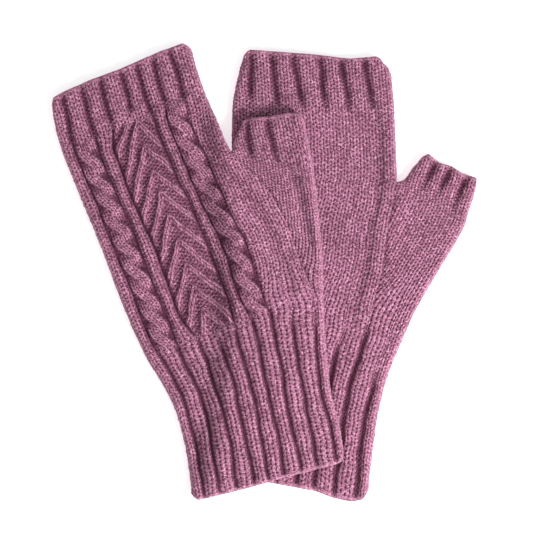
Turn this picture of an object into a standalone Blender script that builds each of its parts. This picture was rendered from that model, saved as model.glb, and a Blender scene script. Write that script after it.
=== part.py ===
"""Pair of fingerless knitted mittens, laid flat, the left one across the right one.

Each mitten is five knitted tubes that meet at seams: cuff, hand, finger band, thumb with its
gusset, and thumb band. A tube is a wall with a plain inside; ribs, rope cables and chevrons
rise from its upper face. Lengths in the tables are millimetres, seen from above.
"""
import math

import bpy
import bmesh
import numpy as np

for old in list(bpy.data.objects):
    bpy.data.objects.remove(old, do_unlink=True)

MM = 0.001
WOOL = (0.39, 0.14, 0.25)
WOOL_ROUGHNESS = 0.9
WALL = 2.6
HOLLOW = 0.8
THICK = 2 * WALL + HOLLOW
SEAM_GAP = 0.3

# Middle of the pair's box in plan, where the empty that holds all pieces puts the origin
CENTRE_X = 0.366
CENTRE_Y = -0.232

# Folded sides: radius of the bend, and most of a narrow tube's width that it may take
FOLD = THICK / 2
MOST_FOLD = 0.6
MOST_INNER_FOLD = 0.4
MOST_FAR_INSET = 0.75
MOST_SIDE_WALL = 0.62
CROTCH_FOLD = 0.9
CROTCH_EASE = 7.0

# Relief of the knitting above the plain face
RIB_RISE = 0.5
RIB_DIP = 0.8
RIB_SHOULDER = 2.2
RIB_FADE = 16.0
FADED_RIB = 0.25
CABLE_RISE = 2.0
CABLE_DIP = 0.9
CABLE_SWING = 0.25
CABLE_STRAND = 0.29
STRAND_MIDDLE = 0.45
STRAND_OVER = 0.55
STRAND_UNDER = 0.35
CHEVRON_RISE = 0.8
CHEVRON_DIP = 0.7
CHEVRON_DROP = 36.8
CHEVRON_COLUMNS = 14
CHEVRON_SHARE = 0.62
CHEVRON_EDGE = 0.06

# The point of the chevrons drifts across their strip from cuff to band
APEX_LOW = 0.47
APEX_DRIFT = 0.16
DRIFT_START = 115.0
DRIFT_LENGTH = 75.0

# One repeat of cables and chevrons along the wales, and the place of one crossing
PATTERN_PITCH = 13.1
PATTERN_START = 94.8
PATTERN_ROWS = 5
EDGE_SHARE = 0.045
RIB_PARTS = (0.0, 0.2, 0.5, 0.8)

# How far the upper mitten is lifted where it lies on the lower one
LIFT = THICK + RIB_RISE + SEAM_GAP
LIFT_START = -17.0
LIFT_END = -1.5

# Courses from hem to finger edge: the place along the wales, both ends, and the cabled panel's share
COURSE = ("along", "left_x", "left_y", "right_x", "right_y", "panel")
LEFT_CUFF_COURSES = (
    (0.0, -36.8, -119.3, 42.8, -98.7, 1.0),
    (14.3, -38.4, -107.3, 39.9, -82.5, 1.0),
    (33.6, -41.5, -88.2, 35.2, -63.7, 1.0),
    (52.8, -47.2, -69.4, 32.9, -44.9, 1.0),
    (67.4, -53.5, -57.4, 31.6, -28.7, 1.0),
    (81.0, -60.3, -46.5, 31.0, -13.6, 1.0),
)
LEFT_HAND_COURSES = (
    (81.0, -60.3, -46.5, 27.4, -15.0, 0.73),
    (99.3, -67.6, -31.3, 20.1, 3.1, 0.74),
    (123.1, -76.5, -9.4, 11.7, 25.6, 0.75),
    (146.2, -84.5, 12.0, -0.3, 45.9, 0.76),
    (157.3, -88.5, 21.9, -8.6, 54.3, 0.795),
    (168.0, -92.7, 31.8, -16.4, 62.1, 0.834),
    (186.0, -99.2, 48.0, -24.3, 79.1, 0.835),
    (205.3, -106.4, 66.8, -31.5, 96.0, 0.835),
    (229.3, -111.7, 89.8, -38.9, 119.5, 0.835),
)
LEFT_CUFF_END = 81.0
LEFT_CROTCH = 168.0
LEFT_BAND_START = 205.3
LEFT_TOP = 229.3
RIGHT_CUFF_COURSES = (
    (0.0, -21.7, -105.4, 54.0, -118.7, 1.0),
    (23.2, -18.5, -82.5, 57.2, -92.4, 1.0),
    (45.4, -14.9, -60.6, 60.3, -72.0, 1.0),
    (66.4, -12.3, -39.7, 65.6, -52.2, 1.0),
    (86.3, -10.7, -19.8, 73.6, -32.9, 1.0),
)
RIGHT_HAND_COURSES = (
    (86.3, -10.7, -19.8, 54.0, -30.0, 1.0),
    (98.9, -10.7, -7.3, 57.4, -16.2, 1.0),
    (111.4, -11.2, 5.2, 61.3, -2.1, 1.0),
    (139.7, -13.3, 33.4, 65.5, 26.1, 1.0),
    (150.2, -14.9, 43.8, 68.1, 37.6, 1.0),
    (158.7, -15.9, 52.2, 69.4, 46.5, 1.0),
    (175.4, -16.5, 68.9, 69.2, 64.7, 1.0),
    (194.2, -15.9, 87.7, 68.3, 85.1, 1.0),
    (223.3, -9.9, 116.3, 66.2, 109.9, 1.0),
)
RIGHT_CUFF_END = 86.3
RIGHT_CROTCH = 158.7
RIGHT_BAND_START = 194.2
RIGHT_TOP = 223.3

# Thumbs: the line that joins the hand above and below, and the outer edge
THUMB_COURSE = ("along", "near_x", "near_y", "edge_x", "edge_y", "under_x", "under_y")
LEFT_THUMB_COURSES = (
    (81.0, 27.4, -15.0, 31.0, -13.6, 12.3, -20.4),
    (99.3, 20.1, 3.1, 30.8, 2.1, 10.2, -0.5),
    (123.1, 11.7, 25.6, 29.5, 20.9, 2.9, 21.9),
    (146.2, -0.3, 45.9, 27.7, 39.1, -7.0, 43.3),
    (157.3, -8.6, 54.3, 26.9, 46.5, -11.7, 53.0),
    (168.0, -16.4, 62.1, 25.8, 54.3, -16.4, 62.1),
    (173.0, -15.8, 64.7, 24.5, 61.6, -15.8, 64.7),
    (183.0, -13.8, 72.0, 22.4, 72.6, -13.8, 72.0),
    (192.0, -11.7, 78.8, 20.4, 83.5, -11.7, 78.8),
)
LEFT_THUMB_BAND = 173.0
LEFT_THUMB_TOP = 192.0
RIGHT_THUMB_COURSES = (
    (86.3, 54.0, -30.0, 73.6, -32.9, 70.2, -32.4),
    (98.9, 57.4, -16.2, 79.3, -20.4, 69.2, -18.3),
    (111.4, 61.3, -2.1, 87.7, -5.7, 69.7, -3.1),
    (139.7, 65.5, 26.1, 100.2, 15.1, 72.3, 24.0),
    (150.2, 68.1, 37.6, 103.7, 21.4, 71.3, 36.5),
    (158.7, 69.4, 46.5, 105.9, 26.6, 69.4, 46.5),
    (164.0, 73.3, 48.0, 107.2, 31.8, 73.3, 48.0),
    (173.0, 78.6, 54.8, 110.0, 39.7, 78.6, 54.8),
    (182.0, 83.9, 62.1, 112.6, 48.2, 83.9, 62.1),
)
RIGHT_THUMB_BAND = 164.0
RIGHT_THUMB_TOP = 182.0

# Valleys between ribs, as shares of the width from the left edge
LEFT_CUFF_VALLEYS = (0.066, 0.172, 0.286, 0.394, 0.496, 0.597, 0.702, 0.816, 0.938)
RIGHT_CUFF_VALLEYS = (0.12, 0.25, 0.37, 0.50, 0.63, 0.77, 0.915)
LEFT_BAND_VALLEYS = (0.085, 0.225, 0.362, 0.505, 0.622, 0.735, 0.86)
RIGHT_BAND_VALLEYS = (0.10, 0.257, 0.412, 0.56, 0.70, 0.856)
THUMB_BAND_VALLEYS = (0.22, 0.50, 0.78)

# Cabled back: each strip of knitting as shares of the panel from the left edge
PANEL = (
    (0.0, 0.092, "rib"),
    (0.092, 0.263, "cable"),
    (0.263, 0.365, "rib"),
    (0.365, 0.744, "chevron"),
    (0.744, 0.838, "rib"),
    (0.838, 1.0, "cable"),
)
PANEL_STEPS = {
    "rib": (0.0, 0.25, 0.75),
    "cable": (0.0, 0.17, 0.34, 0.5, 0.66, 0.83),
    "chevron": tuple(i / CHEVRON_COLUMNS for i in range(CHEVRON_COLUMNS)),
}

# How far the free edges depart from a straight course, by share of the width
LEFT_HEM = (
    (0.0, 1.4), (0.03, -0.5), (0.08, -0.9), (0.35, -0.6), (0.6, 0.0), (0.94, 0.0), (0.98, 0.8), (1.0, 3.0)
)
LEFT_TOP_EDGE = (
    (0.0, -1.4), (0.03, 0.6), (0.1, 1.4), (0.3, 1.8), (0.5, 1.3), (0.8, 1.9), (0.96, 1.3), (1.0, -1.4)
)
RIGHT_HEM = (
    (0.0, 1.5), (0.05, 0.0), (0.35, -0.4), (0.65, -0.6), (0.78, -2.6), (0.9, -2.8), (0.97, -0.8), (1.0, 2.6)
)
RIGHT_TOP_EDGE = (
    (0.0, -1.4), (0.04, 0.2), (0.5, 0.5), (0.72, -0.2), (0.9, 2.2), (0.93, 1.4), (0.96, -1.4), (1.0, -2.8)
)
LEFT_THUMB_EDGE = (
    (0.0, -3.0), (0.06, -0.6), (0.2, 0.4), (0.5, 0.0), (0.75, 0.5), (0.94, -0.4), (1.0, -3.2)
)
RIGHT_THUMB_EDGE = (
    (0.0, -1.0), (0.08, 0.8), (0.3, -1.0), (0.5, 0.2), (0.7, -0.8), (0.95, 0.4), (1.0, -1.6)
)
STRAIGHT = ((0.0, 0.0), (1.0, 0.0))
EDGE_REACH = 9.0

# Steps along the mitten and columns across it, closer where the upper mitten drapes over the lower
FINE_STEP = 4.0
DRAPED_HEM = 24.0
DRAPED = 14
BAND_STEP = 6.0
UNDER_BAND_STEP = 8.0
UNDER_THUMB_STEP = 9.0

# Angles round a folded side, from the upper face to the lower one
TURNS = (0.0, 30.0, 60.0, 90.0, 125.0, 155.0, 180.0)
INNER_TURNS = (0.0, 90.0, 180.0)


def at(table, names, along):
    """A course of a table by its place along the mitten, smooth between rows."""
    rows = np.array(table)
    places = rows[:, 0]
    slopes = np.gradient(rows, places, axis=0)
    i = int(np.clip(np.searchsorted(places, along) - 1, 0, len(places) - 2))
    step = places[i + 1] - places[i]
    f = (along - places[i]) / step
    row = (
        rows[i] * (1 + 2 * f) * (1 - f) ** 2
        + rows[i + 1] * f * f * (3 - 2 * f)
        + slopes[i] * step * f * (1 - f) ** 2
        - slopes[i + 1] * step * f * f * (1 - f)
    )
    return dict(zip(names, row))


def pair(row, name):
    return np.array((row[name + "_x"], row[name + "_y"]))


def smooth(x):
    x = np.clip(x, 0.0, 1.0)
    return x * x * (3 - 2 * x)


def lower_outline():
    """Plan outline of the lower mitten's cuff, hand and band, sampled along its courses."""
    left, right = [], []
    for along in np.linspace(0.0, RIGHT_TOP, 40):
        table = RIGHT_CUFF_COURSES if along < RIGHT_CUFF_END else RIGHT_HAND_COURSES
        row = at(table, COURSE, along)
        left.append(pair(row, "left"))
        right.append(pair(row, "right"))
    return np.array(left + right[::-1])


def lift_at(points, outline):
    """Height that the lower mitten gives to plan points of the upper one."""
    ends = np.roll(outline, -1, axis=0)
    sides = ends - outline
    rel = points[:, None, :] - outline[None, :, :]
    f = np.clip((rel * sides).sum(-1) / (sides * sides).sum(-1), 0.0, 1.0)
    near = np.sqrt(((rel - f[..., None] * sides) ** 2).sum(-1).min(1))
    crosses = (outline[:, 1] > points[:, None, 1]) != (ends[:, 1] > points[:, None, 1])
    slant = sides[:, 0] / np.where(sides[:, 1] == 0.0, 1.0, sides[:, 1])
    inside = (crosses & (rel[..., 0] < slant * rel[..., 1])).sum(1) % 2 == 1
    depth = np.where(inside, near, -near)
    return LIFT * smooth((depth - LIFT_START) / (LIFT_END - LIFT_START))


def rib_height(from_valley):
    """Rounded rib by its distance from the nearest valley."""
    return -RIB_DIP + (RIB_DIP + RIB_RISE) * smooth(from_valley / RIB_SHOULDER)


def ribbed(valleys, fade_at=None):
    """Relief of a ribbed tube, whose ribs sink into the plain face towards fade_at."""

    def relief(share, along, width, panel):
        height = rib_height(min(abs(share - v) for v in valleys) * width)
        if fade_at is not None:
            height *= FADED_RIB + (1.0 - FADED_RIB) * smooth(abs(fade_at - along) / RIB_FADE)
        return height

    return relief


def plain(share, along, width, panel):
    return 0.0


def cable_height(across, along):
    """Two strands that cross in turn, the upper one leaning from upper left to lower right."""
    height = -CABLE_DIP
    for shift in (0.0, 1.0):
        turn = ((along - PATTERN_START) / PATTERN_PITCH + shift) % 2.0
        angle = math.pi * turn
        strand = 1.0 - ((across - 0.5 - CABLE_SWING * math.cos(angle)) / CABLE_STRAND) ** 2
        over, under = max(0.0, math.sin(angle)), min(0.0, math.sin(angle))
        crest = CABLE_RISE * (STRAND_MIDDLE + STRAND_OVER * over + STRAND_UNDER * under)
        if strand > 0.0:
            height = max(height, -CABLE_DIP + (crest + CABLE_DIP) * math.sqrt(strand))
    return height


def chevron_height(across, along):
    """Nested ridges that rise to a point near the middle of their strip."""
    apex = APEX_LOW + APEX_DRIFT * smooth((along - DRIFT_START) / DRIFT_LENGTH)
    phase = (along - PATTERN_START + CHEVRON_DROP * abs(across - apex)) / PATTERN_PITCH
    ridge = smooth(CHEVRON_SHARE * (1.0 + math.cos(2 * math.pi * phase)))
    edge = smooth(min(across, 1.0 - across) / CHEVRON_EDGE)
    return -CHEVRON_DIP + (CHEVRON_DIP + CHEVRON_RISE) * ridge * edge


def cabled(share, along, width, panel):
    """Relief of the cabled back; past the panel the knitting is plain."""
    if share > panel:
        return -RIB_DIP * (1 - smooth((share - panel) * width / RIB_SHOULDER))
    for from_share, to_share, kind in PANEL:
        if share <= to_share * panel + 1e-9:
            break
    across = (share / panel - from_share) / (to_share - from_share)
    strip = (to_share - from_share) * panel * width
    if kind == "cable":
        return cable_height(across, along)
    if kind == "chevron":
        return chevron_height(across, along)
    return rib_height((0.5 - abs(across - 0.5)) * strip)


def even_columns(count):
    parts = [i / (count + 1) for i in range(1, count + 1)]
    return lambda low, high, panel: [low + (high - low) * part for part in parts]


def rib_columns(valleys):
    """Each valley and three points of each rib."""
    ends = (0.0,) + valleys + (1.0,)
    shares = [a + part * (b - a) for a, b in zip(ends, ends[1:]) for part in RIB_PARTS]
    return lambda low, high, panel: [s for s in shares if EDGE_SHARE < s < 1.0 - EDGE_SHARE]


def panel_columns(low, high, panel):
    """The strips of the cabled panel, then the plain knitting beside it."""
    shares = [a + part * (b - a) for a, b, kind in PANEL for part in PANEL_STEPS[kind]]
    shares = [s * panel for s in shares if s * panel > EDGE_SHARE]
    return shares + [panel + (high - panel) * part for part in RIB_PARTS]


def rows_between(start, crotch, end, step, fine):
    """Places of the courses, one of them at the crotch, and closer together from the start up to fine."""
    places = [start]
    if fine is not None:
        places += [start + FINE_STEP * i for i in range(1, round((fine - start) / FINE_STEP) + 1)]
    stops = [places[-1], end] if crotch is None else [places[-1], crotch, end]
    for a, b in zip(stops, stops[1:]):
        count = max(1, round((b - a) / step))
        places += [a + (b - a) * i / count for i in range(1, count + 1)]
    return places


def hand_ends(table, crotch, under_table):
    """Near, under and far ends of a hand's courses: near is the gusset, far is the left edge."""

    def ends(along):
        row = at(table, COURSE, along)
        near = under = pair(row, "right")
        if crotch is not None and along <= crotch:
            thumb_row = at(under_table, THUMB_COURSE, along)
            near, under = pair(thumb_row, "near"), pair(thumb_row, "under")
        return near, under, pair(row, "left"), row["panel"]

    return ends


def thumb_ends(table):
    """Near, under and far ends of a thumb's courses: its far side is the outer edge."""

    def ends(along):
        row = at(table, THUMB_COURSE, along)
        return pair(row, "near"), pair(row, "under"), pair(row, "edge"), 1.0

    return ends


class Knit:
    """Points and faces of one knitted tube while it is built."""

    def __init__(self):
        self.points = []
        self.faces = []

    def add(self, x, y, z):
        self.points.append((x, y, z))
        return len(self.points) - 1

    def quads(self, upper, lower):
        """Triangles between two rows of numbers, split on the more level diagonal. None leaves a gap."""
        for a, b, c, d in zip(upper, upper[1:], lower[1:], lower):
            if None in (a, b, c, d):
                continue
            heights = [self.points[n][2] for n in (a, b, c, d)]
            if abs(heights[0] - heights[2]) <= abs(heights[1] - heights[3]):
                self.faces += [(a, b, c), (a, c, d)]
            else:
                self.faces += [(a, b, d), (b, c, d)]

    def zip_up(self, first, second):
        """Triangles between two chains of (number, position), whose ends lie side by side."""
        i = j = 0
        while i < len(first) - 1 or j < len(second) - 1:
            next_first = first[i + 1][1] if i < len(first) - 1 else math.inf
            next_second = second[j + 1][1] if j < len(second) - 1 else math.inf
            if next_first <= next_second:
                self.faces.append((first[i][0], first[i + 1][0], second[j][0]))
                i += 1
            else:
                self.faces.append((first[i][0], second[j + 1][0], second[j][0]))
                j += 1


def chain(numbers, positions):
    """A chain that runs with rising positions, scaled to 0 and 1 at its ends."""
    low, high = positions[0], positions[-1]
    return [(n, (p - low) / (high - low)) for n, p in zip(numbers, positions)]


def knit_tube(name, ends, start, end, near_left, columns, relief, crotch=None, under_columns=5,
              step=10.0, under_step=10.0, fine=None, edge_start=STRAIGHT, edge_end=STRAIGHT,
              outline=None):
    """A closed wall along the courses from start to end, open on its near side below the crotch.

    Positions across run from 0 at the near end to 1 at the far end.
    """
    knit = Knit()
    outer_rows = rows_between(start, crotch, end, step, fine)
    inner_rows = rows_between(start, crotch, end, under_step, fine)
    seam = SEAM_GAP / 2 if crotch is not None else 0.0

    def course(along):
        near, under, far, panel = ends(along)
        off = (far - near) / np.linalg.norm(far - near) * seam
        return near + off, under + off, far, panel

    def is_open(along):
        return crotch is not None and along < crotch - 1e-6

    def spot(near, far, position, along):
        """Plan point of a course, with the free edge's own line."""
        share = position if near_left else 1.0 - position
        offset = 0.0
        for edge, place in ((edge_start, start), (edge_end, end)):
            shares, offsets = zip(*edge)
            nearness = max(0.0, 1.0 - abs(along - place) / EDGE_REACH)
            offset += nearness * np.interp(share, shares, offsets)
        across = (far - near) / np.linalg.norm(far - near)
        wales = np.array((-across[1], across[0])) * (1.0 if near_left else -1.0)
        return near + (far - near) * position + wales * offset

    def fold_of(along, width, near_side):
        axis = min(FOLD, MOST_FOLD * width)
        if near_side and crotch is not None:
            axis = CROTCH_FOLD + (axis - CROTCH_FOLD) * smooth((along - crotch) / CROTCH_EASE)
        return axis / width

    # Outer wall: near fold, upper face and far fold, down to the lower face
    upper, upper_positions = [], []
    for along in outer_rows:
        near, under, far, panel = course(along)
        width = float(np.linalg.norm(far - near))
        near_fold, far_fold = fold_of(along, width, True), fold_of(along, width, False)
        first = 0.0 if is_open(along) else near_fold
        last = 1.0 - far_fold
        low, high = (first, last) if near_left else (1.0 - last, 1.0 - first)
        shares = columns(low, high, panel)
        positions = shares if near_left else [1.0 - s for s in reversed(shares)]
        row = []
        for turn in TURNS[:0:-1]:
            inward = near_fold * (1.0 - math.sin(math.radians(turn)))
            row.append(None if is_open(along) else (inward, turn))
        row += [(first, 0.0)] + [(p, 0.0) for p in positions]
        row += [(1.0 - far_fold * (1.0 - math.sin(math.radians(turn))), turn) for turn in TURNS]
        numbers = []
        for item in row:
            if item is None:
                numbers.append(None)
                continue
            position, turn = item
            x, y = spot(near, far, position, along)
            level = math.cos(math.radians(turn))
            rise = relief(position if near_left else 1.0 - position, along, width, panel)
            numbers.append(knit.add(x, y, FOLD + FOLD * level + rise * max(0.0, level)))
        upper.append(numbers)
        upper_positions.append([item and item[0] for item in row])
    for row, next_row in zip(upper, upper[1:]):
        knit.quads(row, next_row)
    slit = len(TURNS) - 1
    crotch_row = 0 if crotch is None else outer_rows.index(crotch)

    # Outer wall: lower face between the folds
    lower = []
    for along in inner_rows:
        near, under, far, panel = course(along)
        width = float(np.linalg.norm(far - under))
        first = 0.0 if is_open(along) else fold_of(along, width, True)
        last = 1.0 - fold_of(along, float(np.linalg.norm(far - near)), False)
        steps = range(under_columns + 1)
        places = [spot(under, far, first + (last - first) * i / (under_columns + 1), along) for i in steps]
        numbers = [knit.add(x, y, 0.0) for x, y in places[1:]]
        lower.append(([knit.add(*places[0], 0.0)] if is_open(along) else [None]) + numbers)
    for row, next_row in zip(lower, lower[1:]):
        knit.quads(row[1:], next_row[1:])
    near_chain = [(row[0], along) for row, along in zip(lower, inner_rows) if row[0] is not None]
    near_chain += [(upper[i][0], outer_rows[i]) for i in range(crotch_row, len(outer_rows))]
    knit.zip_up(near_chain, [(row[1], along) for row, along in zip(lower, inner_rows)])
    knit.zip_up(
        [(row[-1], along) for row, along in zip(lower, inner_rows)],
        [(row[-1], along) for row, along in zip(upper, outer_rows)],
    )

    # Inner wall, plain: near side, upper face, far side and lower face
    inside = []
    count = under_columns + 2
    for along in inner_rows:
        near, under, far, panel = course(along)
        row = []
        narrow = float(np.linalg.norm(far - near))
        for low_end, height in ((near, THICK - WALL), (under, WALL)):
            width = float(np.linalg.norm(far - low_end))
            last = 1.0 - min(FOLD, MOST_FAR_INSET * narrow) / width
            first = 0.0 if is_open(along) else min(FOLD / width, MOST_INNER_FOLD)
            positions = [first + (last - first) * i / (count - 1) for i in range(count)]
            row.append([(spot(low_end, far, p, along), height) for p in positions])
        side = min(WALL / narrow, MOST_SIDE_WALL)
        row.insert(1, [(spot(near, far, 1.0 - side, along), FOLD)])
        row[2].reverse()
        row.append([None if is_open(along) else (spot(near, far, side, along), FOLD)])
        items = [item for part in row for item in part]
        inside.append([None if item is None else knit.add(*item[0], item[1]) for item in items])
    for row, next_row in zip(inside, inside[1:]):
        knit.quads(row + row[:1], next_row + next_row[:1])
    inner_crotch = 0 if crotch is None else inner_rows.index(crotch)

    def close_end(outer_row, inner_row, along_closed):
        """The wall's own thickness at one end of the tube."""
        out, low, ins = upper[outer_row], lower[inner_row], inside[inner_row]
        even = [i / (count - 1) for i in range(count)]
        far = len(out) - len(TURNS)
        places = upper_positions[outer_row][slit:far + 1]
        knit.zip_up(chain(out[slit:far + 1], places), chain(ins[:count], even))
        knit.zip_up(chain(out[far:], TURNS), chain(ins[count - 1:count + 2], INNER_TURNS))
        under = [low[0] if low[0] is not None else out[0]] + low[1:] + [out[-1]]
        under_even = [i / (len(under) - 1) for i in range(len(under))]
        knit.zip_up(chain(under[::-1], under_even), chain(ins[count + 1:2 * count + 1], even))
        if along_closed:
            close_fold(out, ins)

    def close_fold(out, ins):
        bend = [ins[2 * count], ins[2 * count + 1], ins[0]]
        knit.zip_up(chain(out[:slit + 1], TURNS), chain(bend, INNER_TURNS))

    close_end(len(outer_rows) - 1, len(inner_rows) - 1, True)
    close_end(0, 0, crotch is None)
    if crotch is not None:
        close_fold(upper[crotch_row], inside[inner_crotch])
        knit.zip_up(
            [(upper[i][slit], outer_rows[i]) for i in range(crotch_row + 1)],
            [(inside[i][0], inner_rows[i]) for i in range(inner_crotch + 1)],
        )
        knit.zip_up(
            near_chain[:inner_crotch + 1],
            [(inside[i][2 * count], inner_rows[i]) for i in range(inner_crotch + 1)],
        )

    points = np.array(knit.points)
    if outline is not None:
        points[:, 2] += lift_at(points[:, :2], outline)
    mesh = bpy.data.meshes.new(name)
    mesh.from_pydata((points * MM).tolist(), [], knit.faces)
    build = bmesh.new()
    build.from_mesh(mesh)
    bmesh.ops.recalc_face_normals(build, faces=build.faces)
    build.to_mesh(mesh)
    build.free()
    piece = bpy.data.objects.new(name, mesh)
    piece.parent = pair_centre
    bpy.context.scene.collection.objects.link(piece)
    material = bpy.data.materials.new(name + "_wool")
    material.use_nodes = True
    shader = material.node_tree.nodes["Principled BSDF"]
    shader.inputs["Base Color"].default_value = (*WOOL, 1.0)
    shader.inputs["Roughness"].default_value = WOOL_ROUGHNESS
    mesh.materials.append(material)
    return piece


GAP = SEAM_GAP / 2
under_upper = lower_outline()
pair_centre = bpy.data.objects.new("pair_centre", None)
pair_centre.location = (-CENTRE_X * MM, -CENTRE_Y * MM, 0.0)
bpy.context.scene.collection.objects.link(pair_centre)
left_cuff = hand_ends(LEFT_CUFF_COURSES, None, None)
left_hand = hand_ends(LEFT_HAND_COURSES, LEFT_CROTCH, LEFT_THUMB_COURSES)
right_cuff = hand_ends(RIGHT_CUFF_COURSES, None, None)
right_hand = hand_ends(RIGHT_HAND_COURSES, RIGHT_CROTCH, RIGHT_THUMB_COURSES)
left_thumb = thumb_ends(LEFT_THUMB_COURSES)
right_thumb = thumb_ends(RIGHT_THUMB_COURSES)

# Left mitten, back up and on top
knit_tube("left_cuff", left_cuff, 0.0, LEFT_CUFF_END - GAP, False, rib_columns(LEFT_CUFF_VALLEYS),
          ribbed(LEFT_CUFF_VALLEYS), under_columns=DRAPED, fine=DRAPED_HEM, edge_start=LEFT_HEM,
          outline=under_upper)
knit_tube("left_hand", left_hand, LEFT_CUFF_END + GAP, LEFT_BAND_START - GAP, False, panel_columns,
          cabled, crotch=LEFT_CROTCH, under_columns=DRAPED, step=PATTERN_PITCH / PATTERN_ROWS,
          outline=under_upper)
knit_tube("left_finger_band", left_hand, LEFT_BAND_START + GAP, LEFT_TOP, False,
          rib_columns(LEFT_BAND_VALLEYS), ribbed(LEFT_BAND_VALLEYS), under_columns=DRAPED,
          step=BAND_STEP, under_step=UNDER_BAND_STEP, edge_end=LEFT_TOP_EDGE, outline=under_upper)
knit_tube("left_thumb", left_thumb, LEFT_CUFF_END + GAP, LEFT_THUMB_BAND - GAP, True, even_columns(6),
          plain, crotch=LEFT_CROTCH, outline=under_upper)
knit_tube("left_thumb_band", left_thumb, LEFT_THUMB_BAND + GAP, LEFT_THUMB_TOP, True,
          rib_columns(THUMB_BAND_VALLEYS), ribbed(THUMB_BAND_VALLEYS), step=BAND_STEP,
          under_step=UNDER_THUMB_STEP, edge_end=LEFT_THUMB_EDGE, outline=under_upper)

# Right mitten, palm up and underneath
knit_tube("right_cuff", right_cuff, 0.0, RIGHT_CUFF_END - GAP, False, rib_columns(RIGHT_CUFF_VALLEYS),
          ribbed(RIGHT_CUFF_VALLEYS, fade_at=RIGHT_CUFF_END), edge_start=RIGHT_HEM)
knit_tube("right_hand", right_hand, RIGHT_CUFF_END + GAP, RIGHT_BAND_START - GAP, False,
          even_columns(12), plain, crotch=RIGHT_CROTCH)
knit_tube("right_finger_band", right_hand, RIGHT_BAND_START + GAP, RIGHT_TOP, False,
          rib_columns(RIGHT_BAND_VALLEYS), ribbed(RIGHT_BAND_VALLEYS, fade_at=RIGHT_BAND_START),
          step=BAND_STEP, edge_end=RIGHT_TOP_EDGE)
knit_tube("right_thumb", right_thumb, RIGHT_CUFF_END + GAP, RIGHT_THUMB_BAND - GAP, True,
          even_columns(8), plain, crotch=RIGHT_CROTCH)
knit_tube("right_thumb_band", right_thumb, RIGHT_THUMB_BAND + GAP, RIGHT_THUMB_TOP, True,
          rib_columns(THUMB_BAND_VALLEYS), ribbed(THUMB_BAND_VALLEYS), step=BAND_STEP,
          under_step=UNDER_THUMB_STEP, edge_end=RIGHT_THUMB_EDGE)
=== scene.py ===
"""Looks of a pair of fingerless wool mittens, laid flat, the left one across the right one.

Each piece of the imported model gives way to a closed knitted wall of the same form, with its
stitches, ribs, cables and chevrons in the mesh. Lengths are millimetres, seen from above.
"""

import math

import bmesh
import bpy
import numpy as np
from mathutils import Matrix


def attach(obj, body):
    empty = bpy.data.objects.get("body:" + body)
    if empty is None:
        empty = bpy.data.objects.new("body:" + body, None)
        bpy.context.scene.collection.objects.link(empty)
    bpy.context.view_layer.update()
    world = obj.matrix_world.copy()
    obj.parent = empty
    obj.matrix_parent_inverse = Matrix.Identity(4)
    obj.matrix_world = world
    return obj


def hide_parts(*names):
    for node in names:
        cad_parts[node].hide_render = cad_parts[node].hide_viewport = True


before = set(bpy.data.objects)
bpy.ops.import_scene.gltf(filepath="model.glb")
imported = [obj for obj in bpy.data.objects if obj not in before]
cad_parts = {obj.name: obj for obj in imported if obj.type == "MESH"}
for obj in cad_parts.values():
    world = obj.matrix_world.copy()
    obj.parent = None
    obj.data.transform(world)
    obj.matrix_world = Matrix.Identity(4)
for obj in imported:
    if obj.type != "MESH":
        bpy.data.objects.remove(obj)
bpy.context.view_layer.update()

# Wool yarn
# A softly spun, brushed yarn, heathered from mauve pinks. It is dull. Its colour is painted
# paler on the crests of the stitches, a painted highlight where fibres stand off them, and painted
# darker where stitches meet, a painted shade in the hollows.
MM = 0.001
# The crest colour is a painted highlight and the hollow colour a painted shade.
YARN_CREST_HIGHLIGHT = (0.480, 0.202, 0.315, 1.0)
YARN_BODY = (0.310, 0.110, 0.183, 1.0)
YARN_HOLLOW_SHADE = (0.090, 0.022, 0.046, 1.0)
YARN_FLECK = (0.72, 0.40, 0.53, 1.0)
YARN_SHADE = (0.115, 0.030, 0.062, 1.0)
SHEEN_PINK = (0.95, 0.72, 0.84, 1.0)
SHEEN_WEIGHT = 0.32
SHEEN_ROUGHNESS = 0.45
SPECULAR = 0.1
ROUGHNESSES = (0.82, 1.0)
CREST_HIGHLIGHT_DEPTHS = (0.50, 0.02)
HOLLOW_SHADE_DEPTHS = (0.29, 0.86)
DARK_FLECKS = (0.51, 0.34)
PALE_FLECKS = (0.52, 0.67)
PALE_SHARE = 0.95
PATCH_TONES = (0.92, 1.06)
BLOTCH_TONES = (0.76, 1.22)
NOISE_SPAN = (0.3, 0.7)
FLECK_SIZE = 0.62
BLOTCH_SIZE = 1.8
FIBRE_SIZE = 0.16
PATCH_SIZE = 24.0
FIBRE_HEIGHT = 0.14
FIBRE_STRENGTH = 0.7
FLAT_STITCH_HEIGHT = 4.0
FLAT_VALLEY_DEPTH = 2.5
FLAT_VALLEY_SPAN = (0.3, 0.48)
RIB_WALES = 2.5
LEG_MIDDLE = 0.25
LEG_LEAN = 0.17
LEG_HALF_WIDTH = 0.235
LEG_HALF_LENGTH = 0.64


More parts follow.
